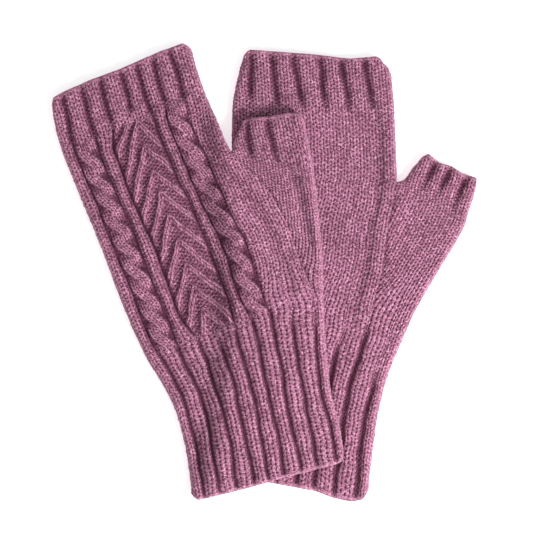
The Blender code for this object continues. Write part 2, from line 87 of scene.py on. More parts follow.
def yarn_group():
    """Shader group of the yarn: its heathered colour, roughness and height, from the stitch's depth.

    Where "flat" is 1, on undersides and insides, the stitches are drawn from the stitch map, and
    the valleys between ribs too where "ribbed" is 1. The colour is painted light: a painted highlight
    on the crests, and painted shade in the hollows and valleys.
    """
    group = bpy.data.node_groups.new("heathered_yarn_painted_light", "ShaderNodeTree")
    group.interface.new_socket("Colour", in_out="OUTPUT", socket_type="NodeSocketColor")
    group.interface.new_socket("Roughness", in_out="OUTPUT", socket_type="NodeSocketFloat")
    group.interface.new_socket("Height", in_out="OUTPUT", socket_type="NodeSocketFloat")
    nodes, links = group.nodes, group.links
    outputs = nodes.new("NodeGroupOutput")
    place = nodes.new("ShaderNodeTexCoord")

    def join(value, socket):
        if isinstance(value, bpy.types.NodeSocket):
            links.new(value, socket)
        else:
            socket.default_value = value

    def sum_of(operation, first, second=0.0, third=0.0):
        made = nodes.new("ShaderNodeMath")
        made.operation = operation
        for socket, value in zip(made.inputs, (first, second, third)):
            join(value, socket)
        return made.outputs[0]

    def noise(size, detail, roughness):
        made = nodes.new("ShaderNodeTexNoise")
        made.inputs["Scale"].default_value = 1.0 / (size * MM)
        made.inputs["Detail"].default_value = detail
        made.inputs["Roughness"].default_value = roughness
        links.new(place.outputs["Object"], made.inputs["Vector"])
        return made.outputs["Fac"]

    def spread(value, span, to=(0.0, 1.0)):
        made = nodes.new("ShaderNodeMapRange")
        made.interpolation_type = "SMOOTHSTEP"
        for socket, number in zip(made.inputs[1:5], span + to):
            socket.default_value = number
        links.new(value, made.inputs["Value"])
        return made.outputs["Result"]

    def blend(factor, first, second):
        made = nodes.new("ShaderNodeMix")
        made.data_type = "RGBA"
        for number, value in ((0, factor), (6, first), (7, second)):
            join(value, made.inputs[number])
        return made.outputs[2]

    def mark(name):
        made = nodes.new("ShaderNodeAttribute")
        made.attribute_name = name
        return made.outputs["Fac"]

    stitch_map = nodes.new("ShaderNodeUVMap")
    stitch_map.uv_map = "stitches"
    split = nodes.new("ShaderNodeSeparateXYZ")
    links.new(stitch_map.outputs["UV"], split.inputs[0])
    across = sum_of("ABSOLUTE", sum_of("SUBTRACT", sum_of("FRACT", split.outputs["X"]), 0.5))
    rise = sum_of("SUBTRACT", sum_of("FRACT", split.outputs["Y"]), 0.5)
    middle = sum_of("MULTIPLY_ADD", rise, LEG_LEAN, LEG_MIDDLE)
    off = sum_of("DIVIDE", sum_of("SUBTRACT", across, middle), LEG_HALF_WIDTH)
    reach = sum_of("DIVIDE", rise, LEG_HALF_LENGTH)
    bulge = sum_of("SUBTRACT", 1.0, sum_of("MULTIPLY_ADD", off, off, sum_of("MULTIPLY", reach, reach)))
    drawn_leg = sum_of("SQRT", sum_of("MAXIMUM", bulge, 0.0))
    in_rib = sum_of("FRACT", sum_of("DIVIDE", split.outputs["X"], RIB_WALES))
    from_rib = sum_of("ABSOLUTE", sum_of("SUBTRACT", in_rib, 0.5))
    drawn_valley = sum_of("MULTIPLY", spread(from_rib, FLAT_VALLEY_SPAN), mark("ribbed"))
    drawn_depth = sum_of("MAXIMUM", sum_of("SUBTRACT", 1.0, drawn_leg), drawn_valley)
    flat = mark("flat")
    depth = sum_of("MULTIPLY_ADD", sum_of("SUBTRACT", drawn_depth, mark("depth")), flat, mark("depth"))

    fibre = noise(FIBRE_SIZE, detail=3.0, roughness=0.7)
    fleck = noise(FLECK_SIZE, detail=2.0, roughness=0.65)
    patch = noise(PATCH_SIZE, detail=2.0, roughness=0.5)
    blotch = noise(BLOTCH_SIZE, detail=2.0, roughness=0.6)
    # Painted highlight on the crests and painted shade in the hollows, set by the depth.
    colour = blend(spread(depth, CREST_HIGHLIGHT_DEPTHS), YARN_BODY, YARN_CREST_HIGHLIGHT)
    colour = blend(spread(fleck, DARK_FLECKS), colour, YARN_SHADE)
    colour = blend(spread(fleck, PALE_FLECKS, (0.0, PALE_SHARE)), colour, YARN_FLECK)
    colour = blend(spread(depth, HOLLOW_SHADE_DEPTHS), colour, YARN_HOLLOW_SHADE)
    tone = nodes.new("ShaderNodeHueSaturation")
    links.new(colour, tone.inputs["Color"])
    tones = (spread(patch, NOISE_SPAN, PATCH_TONES), spread(blotch, NOISE_SPAN, BLOTCH_TONES))
    links.new(sum_of("MULTIPLY", *tones), tone.inputs["Value"])
    links.new(tone.outputs["Color"], outputs.inputs["Colour"])
    links.new(spread(fibre, NOISE_SPAN, ROUGHNESSES), outputs.inputs["Roughness"])
    drawn_relief = sum_of("MULTIPLY_ADD", drawn_valley, -FLAT_VALLEY_DEPTH, drawn_leg)
    drawn_height = sum_of("MULTIPLY", sum_of("MULTIPLY", drawn_relief, flat), FLAT_STITCH_HEIGHT)
    links.new(sum_of("ADD", fibre, drawn_height), outputs.inputs["Height"])
    return group


heathered_yarn_painted_light = yarn_group()


def wool(name):
    """Material of one knitted piece."""
    material = bpy.data.materials.new(name)
    material.use_nodes = True
    nodes, links = material.node_tree.nodes, material.node_tree.links
    shader = nodes["Principled BSDF"]
    yarn = nodes.new("ShaderNodeGroup")
    yarn.node_tree = heathered_yarn_painted_light
    links.new(yarn.outputs["Colour"], shader.inputs["Base Color"])
    links.new(yarn.outputs["Roughness"], shader.inputs["Roughness"])
    bump = nodes.new("ShaderNodeBump")
    bump.inputs["Strength"].default_value = FIBRE_STRENGTH
    bump.inputs["Distance"].default_value = FIBRE_HEIGHT * MM
    links.new(yarn.outputs["Height"], bump.inputs["Height"])
    links.new(bump.outputs["Normal"], shader.inputs["Normal"])
    shader.inputs["Specular IOR Level"].default_value = SPECULAR
    shader.inputs["Sheen Weight"].default_value = SHEEN_WEIGHT
    shader.inputs["Sheen Roughness"].default_value = SHEEN_ROUGHNESS
    shader.inputs["Sheen Tint"].default_value = SHEEN_PINK
    return material


# Lower mitten, cuff
# Wide wool rib, knitted in the round from the hem to the wrist. Every piece is such a tube: its
# wall, its stitches and its ribs are made here first, from the sizes of this yarn.
WALL = 2.6
HOLLOW = 0.8
THICK = 2 * WALL + HOLLOW
FOLD = THICK / 2
CENTRE = (0.366, -0.232, 0.0)
SEAM_GAP = 0.02
MOST_FOLD = 0.6
CROTCH_FOLD = 0.9
CROTCH_EASE = 7.0
RIM_ROUND = 2.2
RIM_DROP = 1.0
SIDE_PLUMP = 0.35
CORNER = 2.4
NEAR_INNER_MOST = 0.4
FAR_INNER_MOST = 0.75
WALL_MOST = 0.62

WALE = 3.44
COURSE = 2.1
COURSE_ROWS = 5
SIDE_COLUMNS = 24
UNDER_COLUMNS = 24
STITCH_DEPTH = 0.7
LEG_BLUNT = 0.36
LEG_LEAST = 0.62
LEG_MORE = 0.46
PURL_HALF_WALE = 0.44
PURL_HALF_COURSE = 0.36
PURL_LEAST = 0.7
PURL_MORE = 0.35
# Painted shade: how much darker the yarn is painted down between stitches, in grooves and on the wall's
# inner sides.
STITCH_SHADE = 0.9
GROOVE_SHADE = 0.7
GROOVE_FALL = 1.4
INSIDE_SHADE = 0.6
RIB_RISE = 0.5
RIB_DIP = 1.5
RIB_FLOOR = 0.3
RIB_SHOULDER = 2.4
PURL_STRENGTH = 0.3
WANDER = 0.4
WANDER_LENGTHS = (8.5, 3.7)
WANDER_TURNS = (2.3, 4.1)
STRAY = 0.13
STRAY_SIZES = (1.6, 1.1)
MEET_REACH = 8.0
RUN_REACH = 32.0
EDGE_REACH = 9.0
EDGE_YARN = 1.8
EDGE_YARN_RISE = 0.8
EDGE_BEADS = 0.2
# Painted highlight: how much paler the yarn is painted at rounded free edges and on the folded sides.
EDGE_HIGHLIGHT = 0.5
EDGE_DRAWN = 0.55
UNEVEN = 0.45
UNEVEN_SIZE = 12.0

COURSE_NAMES = ("along", "left_x", "left_y", "right_x", "right_y", "panel")
RIGHT_CUFF_COURSES = (
    (0.0, -21.7, -105.4, 54.0, -118.7, 1.0),
    (23.2, -18.5, -82.5, 57.2, -92.4, 1.0),
    (45.4, -14.9, -60.6, 60.3, -72.0, 1.0),
    (66.4, -12.3, -39.7, 65.6, -52.2, 1.0),
    (86.3, -10.7, -19.8, 73.6, -32.9, 1.0),
)
RIGHT_CUFF_END = 86.3
RIGHT_CUFF_COLUMNS = 205
RIGHT_GUSSET_SHARE = 0.777
RIGHT_CUFF_VALLEYS = (
    (0.12, 60.0, 84.0), (0.25, 62.0, 88.0), (0.37, 62.0, 88.0), (0.50, 64.0, 90.0), (0.63, 66.0, 88.0),
    (0.77, 78.0, 98.0), (0.915, 54.0, 74.0)
)
RIGHT_HEM = (
    (0.0, 1.5), (0.05, 0.0), (0.35, -0.4), (0.65, -0.6), (0.78, -2.6), (0.9, -2.8), (0.97, -0.8), (1.0, 2.6)
)


def smooth(x):
    x = np.clip(x, 0.0, 1.0)
    return x * x * (3 - 2 * x)


def courses_at(table, names, along):
    """Courses of a table by their places along the mitten, smooth between rows, as named columns."""
    rows = np.array(table)
    places = rows[:, 0]
    slopes = np.gradient(rows, places, axis=0)
    i = np.clip(np.searchsorted(places, along) - 1, 0, len(places) - 2)
    step = (places[i + 1] - places[i])[:, None]
    f = (along[:, None] - places[i][:, None]) / step
    found = (
        rows[i] * (1 + 2 * f) * (1 - f) ** 2
        + rows[i + 1] * f * f * (3 - 2 * f)
        + slopes[i] * step * f * (1 - f) ** 2
        - slopes[i + 1] * step * f * f * (1 - f)
    )
    return dict(zip(names, found.T))


def pair(courses, name):
    return np.stack((courses[name + "_x"], courses[name + "_y"]), -1)


def chance(i, j, seed=0.0):
    """A number from 0 to 1 for each stitch, the same on each run."""
    return np.mod(np.sin(np.floor(i) * 12.9898 + np.floor(j) * 78.233 + seed) * 43758.5453, 1.0)


def wobble(x, y, size):
    """Slow unevenness from -1 to 1, of about this size in millimetres, the same on each run."""
    x, y = x / size, y / size
    first = np.sin(1.7 * x + 1.9 * np.sin(0.9 * y + 1.3))
    return 0.5 * (first + np.sin(1.9 * y + 1.6 * np.sin(1.1 * x + 0.4)))


def knit_stitch(wale, course):
    """A plain stitch, from 0 between yarns to 1 on a crest: two plump legs that lean apart as they rise."""
    across = np.abs(np.mod(wale, 1.0) - 0.5)
    side = np.where(np.mod(wale, 1.0) > 0.5, 7.0, 3.0)
    height = np.zeros(np.broadcast(wale, course).shape)
    for next_course in (-1.0, 0.0, 1.0):
        rise = np.mod(course, 1.0) - next_course - 0.5
        off = (across - LEG_MIDDLE - LEG_LEAN * rise) / LEG_HALF_WIDTH
        leg = np.clip(1.0 - off**2 - (rise / LEG_HALF_LENGTH) ** 2, 0.0, 1.0) ** LEG_BLUNT
        plump = LEG_LEAST + LEG_MORE * chance(wale, course + next_course, side)
        height = np.maximum(height, leg * plump)
    return height


def purl_stitch(wale, course):
    """A purl stitch: short level bumps, staggered by half a stitch."""
    height = np.zeros(np.broadcast(wale, course).shape)
    for half in (0.0, 0.5):
        across = np.mod(wale + half, 1.0) - 0.5
        rise = np.mod(course + half, 1.0) - 0.5
        away = (across / PURL_HALF_WALE) ** 2 + (rise / PURL_HALF_COURSE) ** 2
        bump = np.sqrt(np.clip(1.0 - away, 0.0, 1.0))
        plump = PURL_LEAST + PURL_MORE * chance(wale + half, course + half, 9.0)
        height = np.maximum(height, bump * plump)
    return height


def stitches(wale, course, knitted, from_edge):
    """Depth of the stitches below their crests. The last yarn along a free edge is a plump one."""
    aside = 0.5 * STRAY * wobble(wale, course, STRAY_SIZES[0])
    along = STRAY * wobble(course + 7.0, 1.7 * wale, STRAY_SIZES[1])
    wale, course = wale + aside, course + along
    height = np.where(knitted, knit_stitch(wale, course), purl_stitch(wale, course))
    edge_yarn = np.sqrt(np.clip(1.0 - (2.0 * from_edge / EDGE_YARN - 1.0) ** 2, 0.0, 1.0))
    beads = 1.0 - EDGE_BEADS + EDGE_BEADS * np.cos(4 * np.pi * wale)
    height = np.maximum(height, EDGE_YARN_RISE * edge_yarn * beads)
    return np.clip(1.0 - height, 0.0, 1.0)


class Ribbing:
    """Ribs of a piece: knit wales, and purl wales that sink into the valleys between them.

    A valley has its share of the width, where along the mitten it is deep, where it has died away,
    and its lean. Broad ribs have wide, soft valleys, tilted ones fall more gently on their left
    side. Even stitches keep one width, and else each rib and valley holds its own count of wales.
    """

    def __init__(self, valleys, broad, purl_half, knit_wales=2.0, purl_wales=1.0, even=False, tilt=0.0):
        self.valleys = valleys
        self.broad = broad
        self.purl_half = purl_half
        self.knit_wales = knit_wales
        self.purl_wales = purl_wales
        self.even = even
        self.tilt = tilt

    def strength(self, number, along):
        """How deep a valley is along its way, from 0 where it has died away to 1."""
        deep, gone = self.valleys[number][1:3]
        return smooth((along - gone) / (deep - gone))

    def way(self, number, along, width):
        """Where a valley runs, as a share of the width. It wanders a little."""
        place, deep = self.valleys[number][:2]
        lean = self.valleys[number][3] if len(self.valleys[number]) > 3 else 0.0
        return place + (wander(number, along) + lean * (along - deep)) / width

    def face(self, share, along, width):
        """Height of the face, and how far each spot lies in a groove, from 0 to 1."""
        rise = np.zeros(share.shape)
        groove = np.zeros(share.shape)
        places = [valley[0] for valley in self.valleys]
        for number in range(len(places)):
            strength = self.strength(number, along)
            rise = rise + strength * np.interp(share, places, [k == number for k in range(len(places))])
            away = (share - self.way(number, along, width)) * width
            reach = self.broad * np.where(away > 0.0, 1.0 + self.tilt, 1.0 - self.tilt)
            groove = np.maximum(groove, (1.0 - rib_height(np.abs(away) / reach)) * strength)
        return RIB_RISE * rise - (RIB_RISE + RIB_DIP) * groove, groove

    def stitching(self, share, along, width):
        """Wale numbers counted from the right side, and which stitches are knit."""
        wale = np.zeros(share.shape)
        knitted = share > -1.0
        start = along * 0.0
        for number in range(len(self.valleys)):
            place = self.way(number, along, width)
            half = self.purl_half / width
            wale = wale - self.knit_wales * np.clip((share - start) / (place - half - start), 0.0, 1.0)
            wale = wale - self.purl_wales * np.clip((share - place + half) / (2.0 * half), 0.0, 1.0)
            purled = self.strength(number, along) > PURL_STRENGTH
            knitted = knitted & ~(purled & (np.abs(share - place) < half))
            start = place + half
        wale = wale - self.knit_wales * np.clip((share - start) / (1.0 - start), 0.0, 1.0)
        wale = wale + (self.knit_wales + self.purl_wales) * len(self.valleys) + self.knit_wales
        return (1.0 - share) * width / WALE if self.even else wale, knitted

    def meet(self, face, share, along, width, seam, first=0.0, span=1.0, reach=MEET_REACH):
        """Lets a face beside the ribs take their form towards the seam.

        The piece covers a span of the ribs' width, from its first share of it.
        """
        ribs = self.face(first + span * share, along, width / span)
        near = 1.0 - smooth(np.abs(along - seam) / reach)
        return tuple(plain + (rib - plain) * near for plain, rib in zip(face, ribs))

    def travel(self):
        """Stitches of a piece that is ribbed all over."""

        def run(share, along, width, panel, course):
            wale, knitted = self.stitching(share, along, width)
            return wale, course, knitted

        return run

    def run_on(self, seam, first=0.0, span=1.0):
        """Stitches of plain knitting above the ribs. Their wales run on into it and grow even.

        The piece covers a span of the ribs' width, from its first share of it.
        """

        def run(share, along, width, panel, course):
            ribs_width = width / span
            wale = self.stitching(first + span * share, along, ribs_width)[0]
            right = self.stitching(first + span + 0.0 * along[:1], along[:1], ribs_width[:1])[0]
            even = (1.0 - share) * width / WALE + np.round(right)
            near = 1.0 - smooth((along - seam) / RUN_REACH)
            return even + (wale - even) * near, course, share > -1.0

        return run


def wander(number, along):
    """How far a line between strips or ribs strays sideways, in millimetres."""
    long, short = (
        np.sin(along / length + turn * number) for length, turn in zip(WANDER_LENGTHS, WANDER_TURNS)
    )
    return WANDER * (long + 0.5 * short)


def rib_height(from_valley, shoulder=RIB_SHOULDER):
    """Height of a rounded rib by its distance from the nearest valley, from 0 in it to 1."""
    return np.sin(0.5 * np.pi * np.clip((from_valley - RIB_FLOOR) / shoulder, 0.0, 1.0))


def troughs(share, along, width, paths):
    """Soft folds along listed paths. Each path has rows of place along, share, depth and half width."""
    height = np.zeros(share.shape)
    for path in paths:
        places, shares, depths, halves = zip(*sorted(path))
        away = (share - np.interp(along, places, shares)) * width / np.interp(along, places, halves)
        height -= np.interp(along, places, depths, left=0.0, right=0.0) * np.exp(-away**2)
    return height


class Shell:
    """Points, faces and stitch coordinates of one knitted wall while it is built."""

    def __init__(self):
        self.points = []
        self.depths = []
        self.flats = []
        self.faces = []
        self.uvs = []
        self.seams = []
        self.count = 0

    def add(self, points, depth, flat=0.0):
        """Adds points and returns their numbers, in the same layout."""
        shape = points.shape[:-1]
        self.points.append(points.reshape(-1, 3))
        self.depths.append(np.broadcast_to(depth, shape).reshape(-1))
        self.flats.append(np.full(self.points[-1].shape[0], flat))
        numbers = np.arange(self.count, self.count + self.points[-1].shape[0]).reshape(shape)
        self.count += self.points[-1].shape[0]
        return numbers

    def sheet(self, numbers, wale, course):
        """Quads between neighbouring rows and columns. Each is split along its more level diagonal."""
        wale = np.broadcast_to(wale, numbers.shape)
        course = np.broadcast_to(course, numbers.shape)
        corners = [(slice(None, -1), slice(None, -1)), (slice(None, -1), slice(1, None)),
                   (slice(1, None), slice(1, None)), (slice(1, None), slice(None, -1))]
        quads = np.stack([numbers[c] for c in corners], -1).reshape(-1, 4)
        places = np.stack([np.stack((wale[c], course[c]), -1) for c in corners], -2).reshape(-1, 4, 2)
        level = np.concatenate(self.points)[quads, 2]
        turned = np.abs(level[:, 0] - level[:, 2]) > np.abs(level[:, 1] - level[:, 3])
        quads[turned] = np.roll(quads[turned], -1, axis=1)
        places[turned] = np.roll(places[turned], -1, axis=1)
        self.faces += quads.tolist()
        self.uvs.append(places.reshape(-1, 2))

    def zip_up(self, first, second):
        """Triangles between two lines of points that run side by side, of any counts."""
        at_first = np.linspace(0.0, 1.0, len(first))
        at_second = np.linspace(0.0, 1.0, len(second))
        i = j = 0
        while i < len(first) - 1 or j < len(second) - 1:
            go_first = at_first[i + 1] if i < len(first) - 1 else math.inf
            go_second = at_second[j + 1] if j < len(second) - 1 else math.inf
            if go_first <= go_second:
                self.faces.append([int(first[i]), int(first[i + 1]), int(second[j])])
                i += 1
            else:
                self.faces.append([int(first[i]), int(second[j + 1]), int(second[j])])
                j += 1
            self.uvs.append(np.zeros((3, 2)))

    def make(self, name, ribbed):
        mesh = bpy.data.meshes.new(name)
        points = (np.concatenate(self.points) - CENTRE) * MM
        mesh.from_pydata(points.tolist(), [], self.faces)
        stitch_map = mesh.uv_layers.new(name="stitches")
        stitch_map.data.foreach_set("uv", np.concatenate(self.uvs).ravel().astype(np.float32))
        depth, flat = np.concatenate(self.depths), np.concatenate(self.flats)
        # The depth sets the painted highlight and painted shade of the yarn's colour.
        for mark, values in (("depth", depth), ("flat", flat), ("ribbed", flat * ribbed)):
            attribute = mesh.attributes.new(mark, "FLOAT", "POINT")
            attribute.data.foreach_set("value", values.astype(np.float32))
        build = bmesh.new()
        build.from_mesh(mesh)
        bmesh.ops.recalc_face_normals(build, faces=build.faces)
        build.to_mesh(mesh)
        build.free()
        mesh.shade_smooth()
        on_seam = np.zeros(self.count, bool)
        on_seam[np.concatenate([seam.ravel() for seam in self.seams])] = True
        ends = np.empty(2 * len(mesh.edges), np.int32)
        mesh.edges.foreach_get("vertices", ends)
        sharp = mesh.attributes.new("sharp_edge", "BOOLEAN", "EDGE")
        sharp.data.foreach_set("value", on_seam[ends.reshape(-1, 2)].all(axis=1))
        knitting = bpy.data.objects.new(name, mesh)
        bpy.context.scene.collection.objects.link(knitting)
        mesh.materials.append(wool(name + "_wool"))
        return knitting


def tube(node, ends, start, end, near_left, columns, form, travel, crotch=None, hem=None, top=None,
         lift=None):
    """A closed knitted wall that replaces a node, along its courses from start to end.

    Positions across run from 0 at the near end to 1 at the far end. Below the crotch the near
    side is open, where the thumb's gusset meets the hand. A hem or a top is the line of a free
    edge, as offsets by share of the width. The other ends meet the next piece at a hair's gap.
    """
    shell = Shell()
    start = start if hem else start + SEAM_GAP / 2
    end = end if top else end - SEAM_GAP / 2
    stops = [start, end] if crotch is None else [start, crotch, end]
    along, course = [start], [0.0]
    for a, b in zip(stops, stops[1:]):
        count = max(1, round((b - a) / COURSE)) * COURSE_ROWS
        along += [a + (b - a) * k / count for k in range(1, count + 1)]
        course += [course[-1] + k / COURSE_ROWS for k in range(1, count + 1)]
    along, course = np.array(along), np.array(course)[:, None]
    crotch_row = 0 if crotch is None else int(np.argmin(np.abs(along - crotch)))
    is_open = np.arange(len(along)) < crotch_row
    near, under, far, panel = ends(along)
    across = (far - near) / np.linalg.norm(far - near, axis=1)[:, None]
    if crotch is not None:
        near = near + across * SEAM_GAP / 2
        under = under + across * SEAM_GAP / 2
    width = np.linalg.norm(far - near, axis=1)
    wales_way = np.stack((-across[:, 1], across[:, 0]), -1) * (1.0 if near_left else -1.0)
    fold = np.minimum(FOLD, MOST_FOLD * width)
    near_fold = fold.copy()
    if crotch is not None:
        near_fold = CROTCH_FOLD + (fold - CROTCH_FOLD) * smooth((along - crotch) / CROTCH_EASE)
    near_share = np.where(is_open, 0.0, near_fold / width)
    far_share = fold / width

    def spot(from_end, position):
        """Plan points of the courses, with the free edges' own lines."""
        share = position if near_left else 1.0 - position
        offset = np.zeros(share.shape)
        for edge, place, outward in ((hem, start, -1.0), (top, end, 1.0)):
            if edge:
                nearness = np.clip(1.0 - np.abs(along - place) / EDGE_REACH, 0.0, 1.0)[:, None]
                offset += nearness * np.interp(share, *zip(*edge))
                inner = np.clip(1.0 - np.minimum(share, 1.0 - share) * width[:, None] / CORNER, 0.0, 1.0)
                offset -= outward * nearness * CORNER * (1.0 - np.sqrt(1.0 - inner**2))
        line = from_end[:, None] + (far - from_end)[:, None] * position[..., None]
        return line + wales_way[:, None] * offset[..., None]

    def raised(plan, height):
        """Points in space, on top of what the mitten lies on."""
        points = np.concatenate((plan, np.broadcast_to(height, plan.shape[:-1])[..., None]), -1)
        if lift is not None:
            points[..., 2] += lift(plan)
        return points

    from_edge = np.full((len(along), 1), np.inf)
    for edge, place in ((hem, start), (top, end)):
        if edge:
            from_edge = np.abs(along - place)[:, None]
    inward = np.clip(1.0 - from_edge / RIM_ROUND, 0.0, 1.0)
    rim = RIM_DROP * (1.0 - np.sqrt(1.0 - inward**2))
    drawn_in = EDGE_DRAWN + (1.0 - EDGE_DRAWN) * smooth(from_edge / EDGE_REACH * 2.0)

    # Upper face
    low = near_share if near_left else far_share
    high = 1.0 - (far_share if near_left else near_share)
    share = low[:, None] + (high - low)[:, None] * np.linspace(0.0, 1.0, columns)[None, :]
    if not near_left:
        share = share[:, ::-1]
    position = share if near_left else 1.0 - share
    rows = (along[:, None], width[:, None], panel[:, None])
    base, groove = form(share, *rows)
    base, groove = base * drawn_in, groove * drawn_in
    wale, stitch_course, knitted = travel(share, *rows, course)
    sunk = stitches(wale, stitch_course, knitted, from_edge)
    plan = spot(near, position)
    base = base + UNEVEN * wobble(plan[..., 0], plan[..., 1], UNEVEN_SIZE)
    # The depth sets painted shade, darker down between the stitches and in grooves, and a painted
    # highlight, paler towards a rounded free edge.
    depth = 1.0 - (1.0 - STITCH_SHADE * sunk) * (1.0 - GROOVE_SHADE * groove**GROOVE_FALL)
    depth = depth * (1.0 - EDGE_HIGHLIGHT * inward)
    upper = shell.add(raised(plan, THICK + base - STITCH_DEPTH * sunk - rim), depth)
    shell.sheet(upper, wale, course)

    # Folded sides
    turn = np.radians(np.linspace(0.0, 180.0, SIDE_COLUMNS + 1))[None, 1:]
    wale_step = 1.0 if share[0, -1] < share[0, 0] else -1.0

    def side(edge_column, radius, outward):
        """A folded side from the upper face's edge to the lower face: where it lies in plan, its
        points, depths and wales."""
        way = wale_step if outward > 0 else -wale_step
        bend_wale = wale[:, edge_column][:, None] + way * turn * FOLD / WALE
        bend_sunk = stitches(bend_wale, course, np.ones(bend_wale.shape, bool), from_edge)
        edge_base = base[:, edge_column][:, None]
        inset = radius[:, None] * (1.0 - np.sin(turn)) / width[:, None]
        positions = 1.0 - inset if outward > 0 else inset
        level = np.cos(turn)
        sideways = outward * (SIDE_PLUMP - STITCH_DEPTH * bend_sunk) * np.sin(turn)
        bend = spot(near, positions) + across[:, None] * sideways[..., None]
        over = np.clip(level, 0.0, 1.0) * (edge_base - rim)
        height = FOLD + (FOLD - STITCH_DEPTH * bend_sunk) * level + over
        # The folded sides take less painted shade between their stitches, a painted highlight on the folds.
        shade = STITCH_SHADE - STITCH_SHADE * EDGE_HIGHLIGHT * np.sin(turn)
        return bend, raised(bend, height), shade * bend_sunk, bend_wale

    far_points, far_depth, bend_wale = side(-1, fold, 1.0)[1:]
    far_side = np.concatenate((upper[:, -1:], shell.add(far_points, far_depth)), 1)
    shell.sheet(far_side, np.concatenate((wale[:, -1:], bend_wale), 1), course)
    bend, near_points, near_depth, bend_wale = side(0, near_fold, -1.0)

    # Lower face
    parts = np.linspace(0.0, 1.0, UNDER_COLUMNS + 2)[None, :]
    lower_width = np.linalg.norm(far - under, axis=1)
    first = np.where(is_open, 0.0, near_fold / lower_width)[:, None]
    last = 1.0 - (fold / lower_width)[:, None]
    lower_share = first + (last - first) * parts
    plan = spot(under, lower_share)[:, :-1]
    plan[:, 0] = np.where(is_open[:, None], plan[:, 0], bend[:, -1])
    lower = np.concatenate((shell.add(raised(plan, 0.0), 0.0, flat=1.0), far_side[:, -1:]), 1)
    shell.sheet(lower, lower_share * lower_width[:, None] / WALE, course)

    # Near side, closed above the crotch
    near_side = shell.add(near_points[crotch_row:, :-1], near_depth[crotch_row:, :-1])
    near_side = np.concatenate((upper[crotch_row:, :1], near_side, lower[crotch_row:, :1]), 1)
    side_wale = np.concatenate((wale[:, :1], bend_wale), 1)
    shell.sheet(near_side, side_wale[crotch_row:], course[crotch_row:])

    # Plain inside
    inner_rows = sorted(set(range(0, len(along), COURSE_ROWS)) | {crotch_row, len(along) - 1})
    inside = []
    inner_wales = []
    for from_end, height in ((near, THICK - WALL), (under, WALL)):
        inner_width = np.linalg.norm(far - from_end, axis=1)
        first = np.where(is_open, 0.0, np.minimum(near_fold / inner_width, NEAR_INNER_MOST))[:, None]
        last = 1.0 - (np.minimum(FOLD, FAR_INNER_MOST * width) / inner_width)[:, None]
        points = raised(spot(from_end, first + (last - first) * parts), height)
        inside.append(shell.add(points[inner_rows], 0.0, flat=1.0))
        inner_wales.append((inner_width[:, None] * parts / WALE)[inner_rows])
    wall_side = (np.minimum(WALL, WALL_MOST * width) / width)[:, None]
    # The inner side walls are painted in shade.
    far_inside = shell.add(raised(spot(near, 1.0 - wall_side), FOLD)[inner_rows], INSIDE_SHADE)
    near_inside = shell.add(raised(spot(near, wall_side), FOLD)[inner_rows], INSIDE_SHADE)
    inner_crotch = inner_rows.index(crotch_row)
    shell.sheet(inside[0], inner_wales[0], course[inner_rows])
    shell.sheet(np.concatenate((inside[0][:, -1:], far_inside, inside[1][:, -1:]), 1), 0.0, 0.0)
    shell.sheet(inside[1], inner_wales[1], course[inner_rows])
    inner_near = np.concatenate((inside[1][:, :1], near_inside, inside[0][:, :1]), 1)
    shell.sheet(inner_near[inner_crotch:], 0.0, 0.0)

    # Ends of the wall, and its edges along the open gusset
    for row, edge in ((0, hem), (-1, top)):
        shell.zip_up(upper[row], inside[0][row])
        shell.zip_up(far_side[row], [inside[0][row, -1], far_inside[row, 0], inside[1][row, -1]])
        shell.zip_up(lower[row], inside[1][row])
        seams = [upper[row], far_side[row], lower[row]]
        if row == -1 or crotch is None:
            shell.zip_up(near_side[row], inner_near[row][::-1])
            seams.append(near_side[row])
        shell.seams += [] if edge else seams
    if crotch is not None:
        shell.seams += [upper[:crotch_row + 1, 0], lower[:crotch_row + 1, 0]]
        shell.zip_up(near_side[0], inner_near[inner_crotch][::-1])
        shell.zip_up(upper[:crotch_row + 1, 0], inside[0][:inner_crotch + 1, 0])
        shell.zip_up(lower[:crotch_row + 1, 0], inside[1][:inner_crotch + 1, 0])

    knitting = shell.make(node + "_knitting", bool(hem or top))
    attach(knitting, "root")
    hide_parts(node)


def hand_ends(table, thumb_table=None, crotch=None):
    """Near, under and far ends of a cuff's or hand's courses, from the gusset to the left edge."""

    def ends(along):
        courses = courses_at(table, COURSE_NAMES, along)
        near = under = pair(courses, "right")
        if crotch is not None:
            thumb = courses_at(thumb_table, THUMB_NAMES, np.minimum(along, crotch))
            below = (along <= crotch)[:, None]
            near = np.where(below, pair(thumb, "near"), near)
            under = np.where(below, pair(thumb, "under"), under)
        return near, under, pair(courses, "left"), courses["panel"]

    return ends


def ribbed(ribs, folds=()):
    """Form of a piece that is ribbed all over, with the folds that run on into it."""

    def form(share, along, width, panel):
        height, groove = ribs.face(share, along, width)
        return height + troughs(share, along, width, folds), groove

    return form


right_cuff_ribs = Ribbing(RIGHT_CUFF_VALLEYS, broad=1.35, purl_half=1.1)
tube("right_cuff", hand_ends(RIGHT_CUFF_COURSES), 0.0, RIGHT_CUFF_END, False, RIGHT_CUFF_COLUMNS,
     ribbed(right_cuff_ribs), right_cuff_ribs.travel(), hem=RIGHT_HEM)

